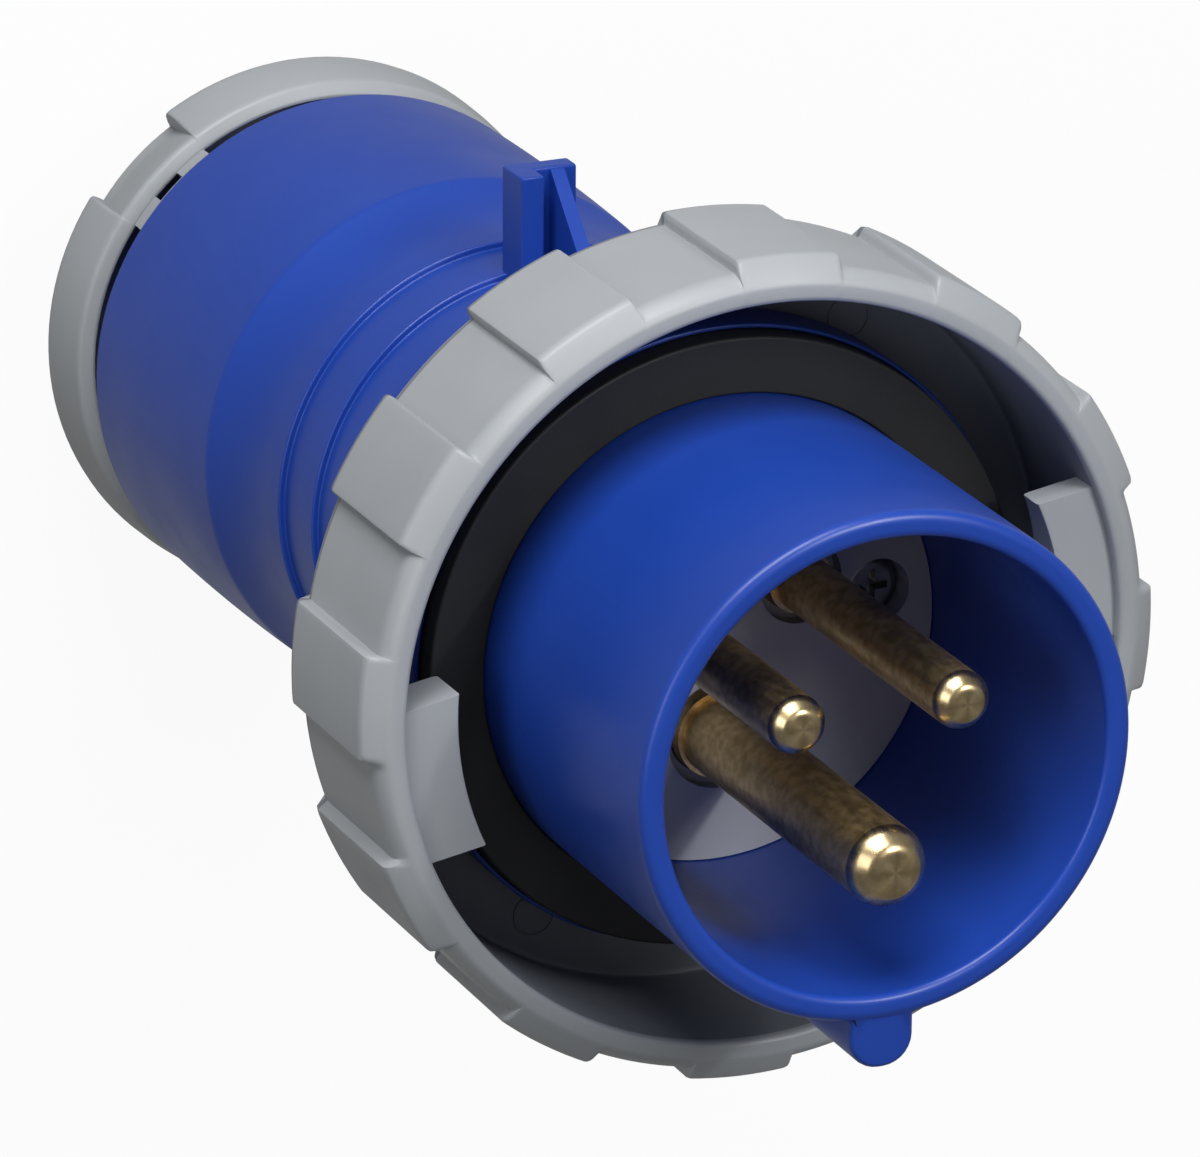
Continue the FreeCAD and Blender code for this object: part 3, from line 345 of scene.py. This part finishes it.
# Name, darker and lighter colour, span of the roughness, and for plastic the grain's strength
BLUE = plastic("blue_plastic", (0.010, 0.047, 0.325), (0.012, 0.055, 0.365), (0.3, 0.38), 0.08)
GREY = plastic("grey_plastic", (0.33, 0.35, 0.37), (0.37, 0.39, 0.41), (0.38, 0.46), 0.1)
# A darker copy of the ring's grey for the locking ring's inner wall and web floor and the gland
# nut's mouth: painted shade
PAINTED_SHADE = plastic("grey_plastic_painted_shade", (0.17, 0.185, 0.21), (0.21, 0.225, 0.25), (0.4, 0.5), 0.1)
INSERT = plastic("insert_plastic", (0.40, 0.41, 0.45), (0.46, 0.47, 0.51), (0.42, 0.55), 0.1)
BLACK = rubber("black_rubber")
BRASS = brass("brass_shaft", (0.60, 0.42, 0.18), (0.84, 0.63, 0.31), (0.34, 0.46))
# The pins' ends: smoother brass whose colour carries a painted reflection, the petals of a faced
# end
BRIGHT = brass("brass_bright", (0.66, 0.50, 0.27), (0.78, 0.62, 0.36), (0.24, 0.34), painted_petals=True)
STEEL = steel("plated_steel")

MATERIALS = {
    "front_body": BLUE,
    "rear_housing": BLUE,
    "contact_carrier": INSERT,
    "carrier_back_plate": INSERT,
    "locking_ring": GREY,
    "gland_nut": GREY,
    "clamp_cage": GREY,
    "thrust_washer": GREY,
    "line_pin": BRASS,
    "neutral_pin": BRASS,
    "earth_pin": BRASS,
    "phase_terminal_screws": STEEL,
    "earth_terminal_screw": STEEL,
    "pressure_plates": STEEL,
    "housing_screws": STEEL,
    "face_gasket": BLACK,
    "carrier_seal": BLACK,
    "housing_o_ring": BLACK,
    "gland_seal": BLACK,
    "seal_insert": BLACK,
}
for node_name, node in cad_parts.items():
    node.data.materials.clear()
    node.data.materials.append(MATERIALS[node_name])


# Camera, floor and light

# The photo's camera, fitted to the known sizes: its axes in the row's frame, and where the middle
# of the sleeve's rim lies along them, in mm
CAMERA_RIGHT = Vector((0.91532, 0.00500, 0.40269))
CAMERA_DOWN = Vector((-0.13267, -0.94036, 0.31325))
CAMERA_AHEAD = Vector((0.38024, -0.34015, -0.86007))
CAMERA_SHIFT = (23.463, 15.509, 729.161)

FLOOR_HALF = 6.0
FLOOR_GLOW = 0.93
FLOOR_GLOW_IN_GLOSS = 0.32
WORLD_STRENGTH = 0.18
PLUG_MIDDLE = (0, 0, 0.09)
SNOOT_TARGET = (0.0, 0.0, 0.125)


def make_camera():
    """The camera at the photo's place and angle."""
    data = bpy.data.cameras.new("camera")
    data.sensor_width = 36.0
    data.lens = 270.0
    data.clip_start = 0.01
    camera = bpy.data.objects.new("camera", data)
    bpy.context.scene.collection.objects.link(camera)
    place = -(CAMERA_RIGHT * CAMERA_SHIFT[0] + CAMERA_DOWN * CAMERA_SHIFT[1]
              + CAMERA_AHEAD * CAMERA_SHIFT[2]) + Vector((0, 0, RIM))
    axes = [CAMERA_RIGHT, -CAMERA_DOWN, -CAMERA_AHEAD]
    matrix = camera.matrix_world.copy()
    for column, axis in enumerate(axes):
        for row in range(3):
            matrix[row][column] = axis[row]
    for row in range(3):
        matrix[row][3] = place[row] * SCALE
    camera.matrix_world = matrix
    bpy.context.scene.camera = camera


def make_floor():
    """A pale floor that looks white to the camera and dim in reflections, and keeps shadows."""
    material, nodes, links, shader = new_material("floor")
    coords = object_coords(nodes)
    cloud = noise(nodes, links, 3.0, 2.0, coords)
    links.new(ramp(nodes, links, cloud.outputs["Fac"], (0.86, 0.86, 0.86),
                   (0.88, 0.88, 0.88)).outputs["Color"], shader.inputs["Base Color"])
    shader.inputs["Roughness"].default_value = 0.9
    shader.inputs["Specular IOR Level"].default_value = 0.1
    path = nodes.new("ShaderNodeLightPath")
    glow = nodes.new("ShaderNodeEmission")
    glow.inputs["Color"].default_value = (1, 1, 1, 1)
    seen = nodes.new("ShaderNodeMath")
    seen.operation = "MULTIPLY_ADD"
    seen.inputs[1].default_value = FLOOR_GLOW_IN_GLOSS
    links.new(path.outputs["Is Glossy Ray"], seen.inputs[0])
    links.new(path.outputs["Is Camera Ray"], seen.inputs[2])
    links.new(seen.outputs["Value"], glow.inputs["Strength"])
    mix = nodes.new("ShaderNodeMixShader")
    mix.inputs["Fac"].default_value = FLOOR_GLOW
    links.new(shader.outputs["BSDF"], mix.inputs[1])
    links.new(glow.outputs["Emission"], mix.inputs[2])
    links.new(mix.outputs["Shader"], nodes["Material Output"].inputs["Surface"])
    mesh = bpy.data.meshes.new("floor")
    half = FLOOR_HALF
    corners = [(-half, -half, 0), (half, -half, 0), (half, half, 0), (-half, half, 0)]
    mesh.from_pydata(corners, [], [(0, 1, 2, 3)])
    mesh.materials.append(material)
    floor = bpy.data.objects.new("floor", mesh)
    bpy.context.scene.collection.objects.link(floor)


def make_lamp(name, kind, place, target, power):
    """A lamp at a place, turned to a target. Returns its data, for what its kind adds."""
    data = bpy.data.lights.new(name, kind)
    data.energy = power
    lamp = bpy.data.objects.new(name, data)
    bpy.context.scene.collection.objects.link(lamp)
    lamp.location = place
    lamp.rotation_euler = (Vector(target) - Vector(place)).to_track_quat("-Z", "Y").to_euler()
    return data


def area_light(name, place, size, power):
    """A soft rectangular light that looks at the plug's middle."""
    data = make_lamp(name, "AREA", place, PLUG_MIDDLE, power)
    data.shape = "RECTANGLE"
    data.size, data.size_y = size


def make_lights():
    """Soft studio light, with a narrow spot that reaches down into the sleeve."""
    area_light("key", (-0.3, 1.12, 0.5), (0.8, 0.6), 14.5)
    area_light("left", (-0.85, 0.2, 0.6), (0.5, 0.4), 2.0)
    area_light("front", (0.36, 0.55, 1.0), (0.4, 0.4), 4.5)
    snoot = make_lamp("snoot", "SPOT", (0.34, 0.46, 1.0), SNOOT_TARGET, 12.0)
    snoot.spot_size = math.radians(4.4)
    snoot.spot_blend = 0.8
    snoot.shadow_soft_size = 0.035
    world = bpy.data.worlds.new("world")
    bpy.context.scene.world = world
    world.use_nodes = True
    background = world.node_tree.nodes["Background"]
    background.inputs["Color"].default_value = (1, 1, 1, 1)
    background.inputs["Strength"].default_value = WORLD_STRENGTH
    bpy.context.scene.view_settings.view_transform = "Standard"


# Front body: sleeve with its key rib, flange and skirt

KEY_HALF = 2.85
KEY_TOP = 26.4
KEY_BEND = 2.62
SKIRT_BACK = 78.0
SKIRT_RADIUS = 24.0
BEAD_RADIUS = 24.8
BEAD_FRONT = 79.6
FLANGE_BACK = 99.0
FLANGE_RADIUS = 27.5
FLANGE_TOP = 103.9
FLANGE_BORE = 27.1
SEAT_RADIUS = 20.35
SEAT_FRONT = 103.2
SEAT_BACK = 90.0
SPIGOT_BORE = 21.15


def key_outline(inset):
    """Points of the key's outline from one side of the sleeve to the other, key towards -Y."""
    half = KEY_HALF - inset
    bend = KEY_BEND - inset
    top = KEY_TOP - inset
    root = -math.sqrt(SLEEVE_RADIUS ** 2 - half ** 2)
    path = [np.array([-half, y]) for y in np.linspace(root, -(top - bend), 5)]
    for a in np.linspace(180, 270, 8)[1:]:
        path.append(np.array([-half + bend + bend * math.cos(math.radians(a)),
                              -(top - bend) + bend * math.sin(math.radians(a))]))
    mirrored = [np.array([-p[0], p[1]]) for p in path[::-1]]
    return np.array(path + mirrored)


def keyed_angles(half_width, radius, key_samples):
    """Angles all round, the first of them across the key, which points to -Y."""
    edge = math.degrees(math.asin(half_width / radius))
    across = np.linspace(-90 - edge, -90 + edge, key_samples)
    rest = np.linspace(-90 + edge, 270 - edge, ROUND_SAMPLES)[1:-1]
    return np.concatenate([across, rest])


def make_front_body():
    """The section's lower path, then the sleeve with its key, then the rim and the bore."""
    key_samples = len(key_outline(0.0))
    angles = keyed_angles(KEY_HALF, SLEEVE_RADIUS, key_samples)

    def plain(r, z):
        return circle_ring(r, z, angles)

    def keyed(inset, key_z, r, z):
        ring = plain(r, z)
        ring[:key_samples, :2] = key_outline(inset)
        ring[:key_samples, 2] = key_z
        return ring

    seat = [(SLEEVE_BORE, SEAT_FRONT), (SEAT_RADIUS, SEAT_FRONT), (SEAT_RADIUS, SEAT_BACK),
            (SPIGOT_BORE, SEAT_BACK)]
    section = soften([
        (SPIGOT_BORE, SKIRT_BACK, 0.2), (BEAD_RADIUS, SKIRT_BACK, 0.35),
        (BEAD_RADIUS, BEAD_FRONT, 0.35), (SKIRT_RADIUS, BEAD_FRONT, 0.3),
        (SKIRT_RADIUS, FLANGE_BACK, 0.4), (FLANGE_RADIUS, FLANGE_BACK, 0.3),
        (FLANGE_RADIUS, FLANGE_TOP, 0.2), (FLANGE_BORE, FLANGE_TOP, 0.1),
        (FLANGE_BORE, SLEEVE_ROOT), (SLEEVE_RADIUS, SLEEVE_ROOT), (SLEEVE_RADIUS, RIM),
        (SLEEVE_BORE, RIM)] + seat)
    root = next(i for i, (r, z) in enumerate(section) if (r, z) == (SLEEVE_RADIUS, SLEEVE_ROOT))
    rings = [plain(r, z) for r, z in section[:root + 1]]
    rings += [keyed(0.0, SLEEVE_ROOT, SLEEVE_RADIUS, SLEEVE_ROOT),
              keyed(0.0, 136.9, SLEEVE_RADIUS, 136.9),
              keyed(0.06, 137.25, SLEEVE_RADIUS, 137.1),
              keyed(0.22, 137.5, 21.99, 137.3),
              keyed(0.5, 137.62, 21.93, 137.5)]
    rim = [(21.8, 137.72), (21.6, 137.87), (21.35, 137.97), (21.1, RIM), (20.5, RIM),
           (20.2, 137.95), (19.95, 137.8), (19.82, 137.55), (SLEEVE_BORE, 137.2)]
    rings += [plain(r, z) for r, z in rim + seat]
    stop = box_sector(23.5, 25.6, 86.0, 94.0, 97.0, 98.95)
    points, faces = join_parts([loft_mesh(rings), stop])
    piece = mesh_object("front_body_moulding", points, faces, BLUE)
    fit_piece(piece, "plug_body", "front_body")


def box_sector(r0, r1, a0, a1, z0, z1, steps=6):
    """A closed block between two radii, two angles and two heights."""
    angles = np.linspace(a0, a1, steps + 1)
    rings = []
    for a in angles:
        c, s = math.cos(math.radians(a)), math.sin(math.radians(a))
        rings.append([(r0 * c, r0 * s, z0), (r1 * c, r1 * s, z0),
                      (r1 * c, r1 * s, z1), (r0 * c, r0 * s, z1)])
    points = np.array(rings).reshape(-1, 3)
    faces = []
    for i in range(steps):
        for k in range(4):
            far = (k + 1) % 4
            faces.append((i * 4 + k, i * 4 + far, (i + 1) * 4 + far, (i + 1) * 4 + k))
    last = steps * 4
    faces.append((0, 3, 2, 1))
    faces.append((last, last + 1, last + 2, last + 3))
    return points, faces


# Locking ring

RING_TURN = 10.0
RING_BORE = 32.6
LAND_COUNT = 12
LAND_PITCH = 360.0 / LAND_COUNT
FIRST_LAND = RING_TURN + 17.0
LUG_HALF = 6.9
LUG_REACH = 5.0
LUG_CENTRES = (RING_TURN, RING_TURN + 180.0)
LUG_SAMPLES = 41
LUG_SIDE = 0.2
RAMP_START, RAMP_LENGTH, RAMP_RISE = -2.1, 9.0, 2.0
WEB_BORE, STOP_SLOT_RADIUS = 24.06, 25.84
STOP_SLOT = (40.5, 94.5)
WEB_FRONT = 98.8
MARK_REACH, MARK_ANGLES = 28.8, (60.0, 240.0)


def land_samples():
    """Angle and land height (0 to 1) of each sample of one period, from the land's centre."""
    rise = [(-7.62, 0.0), (-7.52, 0.12), (-7.5, 0.45), (-7.44, 0.75), (-7.2, 0.95), (-6.8, 1.0)]
    low = [(a, 0.0) for a in np.linspace(-15.0, -8.2, 5)]
    high = [(a, 1.0) for a in np.linspace(-5.5, 5.5, 7)]
    fall = [(-a, h) for a, h in rise[::-1]]
    low_end = [(a, 0.0) for a in np.linspace(8.2, 13.3, 4)]
    return low + rise + high + fall + low_end


def from_centre(angles, centre):
    """Angles measured from a centre, between -180 and 180."""
    return (angles - centre + 180) % 360 - 180


def mould_mark(reach, angle, level, radius=1.85, half=0.14):
    """A fine round line that an ejector pin leaves on a moulding's floor."""
    x, y = reach * math.cos(math.radians(angle)), reach * math.sin(math.radians(angle))
    path = [(radius - half, level - half), (radius + half, level - half),
            (radius + half * 0.6, level + half), (radius - half * 0.6, level + half)]
    points, faces = lathe(path, 48)
    return points + np.array([x, y, 0.0]), faces


def ring_samples():
    """Angle, land height and lug number (0 for none) of each sample round the locking ring."""
    samples = [(FIRST_LAND + LAND_PITCH * k + a, h, 0)
               for k in range(LAND_COUNT) for a, h in land_samples()]
    lug_edge = math.degrees(math.asin(LUG_HALF / RING_BORE))
    for number, centre in enumerate(LUG_CENTRES, start=1):
        inside = [s for s in samples if abs(from_centre(s[0], centre)) < lug_edge + 0.05]
        samples = [s for s in samples if s not in inside]
        offsets, heights = zip(*sorted((from_centre(a, centre), h) for a, h, _ in inside))
        for t in np.linspace(-1, 1, LUG_SAMPLES):
            a = t * lug_edge
            samples.append((centre + a, float(np.interp(a, offsets, heights)), number))
    samples = sorted((a % 360.0, h, number) for a, h, number in samples)
    return [np.array(column) for column in zip(*samples)]


def make_locking_ring():
    """Lands and front step outside, two ramped lugs inside, and the web with its stop slot."""
    angles, height, lug_of = ring_samples()

    def outer(low, high):
        return stepped_ring(low, high, height, angles)

    def inner(r, z):
        return circle_ring(r, z, angles)

    def lug(depth, z, ramped, wall_z):
        """The wall at wall_z. At the lugs, their outline at a share of their reach and height z."""
        ring = inner(RING_BORE, wall_z)
        for number, centre in enumerate(LUG_CENTRES, start=1):
            index = np.where(lug_of == number)[0]
            index = index[np.argsort(from_centre(angles[index], centre))]
            t = np.linspace(-1, 1, len(index))
            along = np.clip((1 - np.abs(t)) / LUG_SIDE, 0, 1)
            y = np.sign(t) * LUG_HALF * np.where(np.abs(t) > 1 - LUG_SIDE, 1.0,
                                                 np.abs(t) / (1 - LUG_SIDE))
            y_in = y * (1 - 0.02 * ramped)
            wall_x = np.sqrt(RING_BORE ** 2 - y ** 2)
            face_x = np.sqrt((RING_BORE - LUG_REACH * depth) ** 2 - y_in ** 2)
            x = wall_x + (face_x - wall_x) * along
            ramp_z = ramped * np.clip((y - RAMP_START) / RAMP_LENGTH, 0, 1) * RAMP_RISE
            c, s = math.cos(math.radians(centre)), math.sin(math.radians(centre))
            ring[index] = np.stack([x * c - y * s, x * s + y * c, z + ramp_z], axis=1)
        return ring

    in_slot = (angles > STOP_SLOT[0]) & (angles < STOP_SLOT[1])
    web = np.where(in_slot, STOP_SLOT_RADIUS, WEB_BORE)
    rings = [
        outer((33.9, 97.0), (33.9, 97.0)),
        outer((34.4, 97.1), (34.4, 97.1)),
        outer((34.8, 97.5), (35.0, 97.4)),
        outer((35.22, 98.4), (36.2, 98.2)),
        outer((35.3, 98.9), (36.4, 98.9)),
        outer((35.3, 112.8), (36.4, 112.8)),
        outer((35.27, 113.3), (36.32, 113.3)),
        outer((35.1, 113.75), (36.05, 113.7)),
        outer((34.8, 114.2), (35.2, 114.2)),
        outer((34.5, 114.55), (34.6, 114.55)),
        outer((34.2, 114.75), (34.2, 114.75)),
        outer((33.9, 114.8), (33.9, 114.8)),
        inner(33.1, 114.8), inner(32.8, 114.7), inner(32.65, 114.5), inner(RING_BORE, 114.2),
        inner(RING_BORE, 113.82),
        lug(0.0, 113.8, 0, 113.8),
        lug(0.92, 113.8, 0, 113.8),
        lug(0.98, 113.73, 0, 113.7),
        lug(1.0, 113.5, 0, 113.5),
        lug(1.0, 109.1, 1, 109.1),
        lug(0.97, 108.87, 1, 108.9),
        lug(0.9, 108.8, 1, 108.8),
        lug(0.0, 108.8, 1, 107.8),
        inner(RING_BORE, 106.8),
        inner(RING_BORE, 99.4), inner(32.4, 99.0), inner(32.0, WEB_FRONT),
        inner(web, WEB_FRONT), inner(web, 97.0),
    ]
    marks = [mould_mark(MARK_REACH, angle, WEB_FRONT) for angle in MARK_ANGLES]
    points, faces = join_parts([loft_mesh(rings)] + marks)
    piece = mesh_object("locking_ring_moulding", points, faces, GREY)
    # The inner wall and the web floor get the darker grey: painted shade
    paint_shade_inside(piece, lambda reach, level: 98.5 < level < 113.9
                 and (level < 99.3 or 32.3 < reach < 32.8))
    fit_piece(piece, "ring", "locking_ring")


# Rear housing: bell, cove, waist and spigot, with the ratchet teeth and the release tab

HOUSING_SAMPLES = 240
RATCHET_RADIUS = 21.1
RATCHET_BACK, RATCHET_FRONT = 17.9, 21.2
TOOTH_PITCH, TOOTH_SHARE, TOOTH_HEIGHT = 15.0, 0.7, 0.5
BELL_BACK = (24.45, 21.2)
BELL_FRONT = (24.15, 48.0)
COVE_FRONT = (22.1, 57.5)


def rounded_prism(outline, low, high, radius, steps=2):
    """A prism with rounded edges along Y, from an outline of X and Z."""
    mesh = bmesh.new()
    near = [mesh.verts.new((x, low, z)) for x, z in outline]
    far = [mesh.verts.new((x, high, z)) for x, z in outline]
    count = len(outline)
    mesh.faces.new(near)
    mesh.faces.new(far[::-1])
    for i in range(count):
        j = (i + 1) % count
        mesh.faces.new((near[j], near[i], far[i], far[j]))
    bmesh.ops.recalc_face_normals(mesh, faces=mesh.faces[:])
    bmesh.ops.bevel(mesh, geom=mesh.edges[:], offset=radius, segments=steps, affect="EDGES",
                    profile=0.5, clamp_overlap=True)
    mesh.verts.index_update()
    points = [tuple(v.co) for v in mesh.verts]
    faces = [tuple(v.index for v in f.verts) for f in mesh.faces]
    mesh.free()
    return points, faces


def make_rear_housing():
    """The turned section, outside first and then the bore, with its teeth and its tab."""
    corners = [(17.2, 9.9, 0.2), (20.3, 9.9, 0.3), (20.3, RATCHET_BACK),
               (RATCHET_RADIUS, RATCHET_BACK), (RATCHET_RADIUS, RATCHET_FRONT),
               (21.7, RATCHET_FRONT), (21.7, 23.8), (23.65, 23.8), (23.65, 21.2, 0.15),
               (*BELL_BACK, 0.25)]
    corners += arc_points(BELL_BACK, BELL_FRONT, 400.0, 1, 16) + [(*BELL_FRONT, 3.5)]
    corners += arc_points(BELL_FRONT, COVE_FRONT, 21.0, -1, 12) + [(*COVE_FRONT, 1.5)]
    corners += [(22.1, 60.1, 0.25), (21.5, 60.1, 0.15), (21.5, 66.4, 0.25), (20.9, 66.4, 0.15),
                (20.9, 90.0), (18.7, 90.0), (18.7, 52.75), (21.95, 42.0), (21.95, 27.0),
                (12.5, 27.0), (12.5, 24.0), (17.2, 24.0)]
    angles = np.arange(HOUSING_SAMPLES) * 360.0 / HOUSING_SAMPLES
    phase = (angles % TOOTH_PITCH) / TOOTH_PITCH
    teeth = np.where(phase < TOOTH_SHARE, TOOTH_HEIGHT * (1 - phase / TOOTH_SHARE), 0.0)
    rings = [circle_ring(r + teeth if r == RATCHET_RADIUS else r, z, angles)
             for r, z in soften(corners)]
    tab = [(-3.1, 65.2), (3.1, 65.2), (3.1, 67.4), (-0.9, 67.4), (-0.9, 69.6), (-3.1, 69.6)]
    rib = [(20.0, 66.3), (30.6, 66.3), (30.6, 67.6), (21.0, 77.2), (20.0, 77.2)]
    points, faces = join_parts([loft_mesh(rings), rounded_prism(tab, 20.0, 30.8, 0.28),
                                plate_along_x(rib, 0.5, 1.8)])
    piece = mesh_object("rear_housing_moulding", points, faces, BLUE, sharp=32.0)
    fit_piece(piece, "plug_body", "rear_housing")


def plate_along_x(outline, x0, x1):
    """A flat plate whose outline is in Y and Z."""
    count = len(outline)
    points = [(x0, y, z) for y, z in outline] + [(x1, y, z) for y, z in outline]
    faces = [tuple(range(count)), tuple(range(2 * count - 1, count - 1, -1))]
    for k in range(count):
        far = (k + 1) % count
        faces.append((k, count + k, count + far, far))
    return points, faces


# Gland nut

NOTCH_CENTRES = [133.5, 253.5, 373.5]
NOTCH_HALF = 11.5
NUT_FLOOR = 6.4
CABLE_HOLE = 10.6
ROOT_RADIUS = 20.36
MOUTH_RADIUS = 23.12
PAWL_RADII = (22.35, 23.35)
PAWL_BACK, PAWL_SLOT_TOP, PAWL_FRONT = 16.6, 19.1, 22.2
PAWL_SLOT_HALF = 3.6


def nut_samples():
    """Angle and pad height (0 to 1) of each sample: a notch's sides and floor, then a pad."""
    rise = [(12.6, 1.0), (12.0, 0.97), (11.7, 0.85), (11.55, 0.55), (11.5, 0.1), (11.4, 0.0)]
    samples = []
    for centre in NOTCH_CENTRES:
        samples += [(centre - a, h) for a, h in rise]
        samples += [(centre + a, 0.0) for a in np.linspace(-9, 9, 7)]
        samples += [(centre + a, h) for a, h in rise[::-1]]
        samples += [(centre + a, 1.0) for a in np.linspace(12.6, 107.4, 34)[1:-1]]
    samples = sorted((a % 360.0, h) for a, h in samples)
    return [np.array(column) for column in zip(*samples)]


def make_gland_nut():
    """Cone, conical pads with their notches, mouth and hollow, with a click tab at each notch."""
    angles, height = nut_samples()

    def outer(low, high):
        return stepped_ring(low, high, height, angles)

    def plain(r, z):
        return circle_ring(r, z, angles)

    rings = [plain(CABLE_HOLE, 4.0), plain(12.9, 0.17), plain(13.2, 0.0), plain(16.9, 0.0),
             plain(17.3, 0.08), plain(17.6, 0.32),
             outer((22.62, 8.2), (22.8, 8.5)),
             outer((22.85, 8.6), (23.3, 8.84)),
             outer((22.9, 8.8), (24.05, 9.08)),
             outer((22.92, 9.2), (24.6, 9.55)),
             outer((22.98, 10.0), (25.0, 10.3)),
             outer((23.15, 10.8), (25.1, 11.0)),
             outer((23.9, 13.5), (25.02, 13.5)),
             outer((24.3, 15.0), (24.9, 15.0)),
             outer((24.58, 16.5), (24.72, 16.5)),
             outer((24.58, 16.9), (24.64, 16.95)),
             outer((24.46, 17.12), (24.5, 17.15)),
             outer((24.26, 17.33), (24.3, 17.34)),
             plain(23.7, 17.58), plain(23.55, 17.66), plain(23.4, 17.7),
             plain(23.2, 17.64), plain(MOUTH_RADIUS, 17.5), plain(MOUTH_RADIUS, 14.95),
             plain(ROOT_RADIUS, 14.9), plain(ROOT_RADIUS, NUT_FLOOR), plain(CABLE_HOLE, NUT_FLOOR)]
    parts = [loft_mesh(rings)]
    for centre in NOTCH_CENTRES:
        for a0, a1, back in ((-NOTCH_HALF, -PAWL_SLOT_HALF, PAWL_BACK),
                             (PAWL_SLOT_HALF, NOTCH_HALF, PAWL_BACK),
                             (-PAWL_SLOT_HALF, PAWL_SLOT_HALF, PAWL_SLOT_TOP)):
            parts.append(box_sector(*PAWL_RADII, centre + a0, centre + a1, back, PAWL_FRONT))
    points, faces = join_parts(parts)
    piece = mesh_object("gland_nut_moulding", points, faces, GREY)
    # The mouth's inside gets the darker grey: painted shade
    paint_shade_inside(piece, lambda reach, level: reach < MOUTH_RADIUS + 0.02 and 14.8 < level < 17.5)
    fit_piece(piece, "nut", "gland_nut")


# Pins and gasket

PIN_CIRCLE = 8.5
PIN_SAMPLES = 64
PIN_BACK, PIN_BORE_END = 72.0, 86.0
COLLAR_BACK, COLLAR_FRONT, SHOULDER_FRONT = 93.0, 95.3, 105.05
ON_AXIS = 0.001
GASKET_BORE, GASKET_RADIUS, GASKET_TOP = 22.05, 27.0, 106.0
SLOT_HALF, SLOT_TOP = 2.9, 26.45
SLOT_SAMPLES, SLOT_FLAT = 25, 0.6


def make_pin(name, angle, radius, body, tip):
    """A pin with its terminal body, collar and shoulder, and a chamfered, slightly crowned end."""
    x = PIN_CIRCLE * math.cos(math.radians(angle))
    y = PIN_CIRCLE * math.sin(math.radians(angle))
    bore, collar, shoulder = body - 2.0, radius + 1.6, radius + 0.4
    path = soften([
        (bore, PIN_BACK), (body, PIN_BACK, 0.2), (body, COLLAR_BACK), (collar, COLLAR_BACK),
        (collar, COLLAR_FRONT), (shoulder, COLLAR_FRONT), (shoulder, SHOULDER_FRONT, 0.05),
        (radius, SHOULDER_FRONT), (radius, tip - 0.42 * radius, radius * 0.5),
        (radius * 0.6, tip, radius * 0.4), (ON_AXIS, tip), (ON_AXIS, PIN_BORE_END),
        (bore, PIN_BORE_END)], 6)
    points, faces = lathe(path, PIN_SAMPLES)
    piece = mesh_object(name + "_turned", points + np.array([x, y, 0.0]), faces, BRASS)
    piece.data.materials.append(BRIGHT)
    bright_from = (tip - 0.62 * radius) * SCALE
    for face in piece.data.polygons:
        if face.center.z > bright_from:
            face.material_index = 1
    fit_piece(piece, "plug_body", name)


def make_gasket():
    """The flat washer, with a slot in its bore where the key passes."""
    angles = keyed_angles(SLOT_HALF, GASKET_BORE, SLOT_SAMPLES)
    t = np.linspace(-1, 1, SLOT_SAMPLES)
    on_side = np.abs(t) > SLOT_FLAT
    up_side = (1 - np.abs(t)) / (1 - SLOT_FLAT)
    slot_x = SLOT_HALF * np.where(on_side, np.sign(t), t / SLOT_FLAT)
    slot_r = np.where(on_side, SLEEVE_RADIUS + up_side * (SLOT_TOP - SLEEVE_RADIUS), SLOT_TOP)
    slot_y = -np.sqrt(slot_r ** 2 - slot_x ** 2 * 0.3)
    rings = []
    for r, z in soften([(GASKET_BORE, SLEEVE_ROOT), (GASKET_RADIUS, SLEEVE_ROOT),
                        (GASKET_RADIUS, GASKET_TOP, 0.3), (GASKET_BORE, GASKET_TOP, 0.2)], 3):
        ring = circle_ring(r, z, angles)
        if r < GASKET_BORE + 1.0:
            ring[:SLOT_SAMPLES, 0] = slot_x
            ring[:SLOT_SAMPLES, 1] = slot_y
        rings.append(ring)
    points, faces = loft_mesh(rings)
    piece = mesh_object("face_gasket_washer", points, faces, BLACK)
    fit_piece(piece, "plug_body", "face_gasket")


make_camera()
make_floor()
make_lights()
make_front_body()
make_locking_ring()
make_rear_housing()
make_gland_nut()
make_pin("line_pin", 150.0, 2.5, 4.3, 137.2)
make_pin("neutral_pin", 30.0, 2.5, 4.3, 137.2)
make_pin("earth_pin", -90.0, 3.5, 4.8, 139.5)
make_gasket()
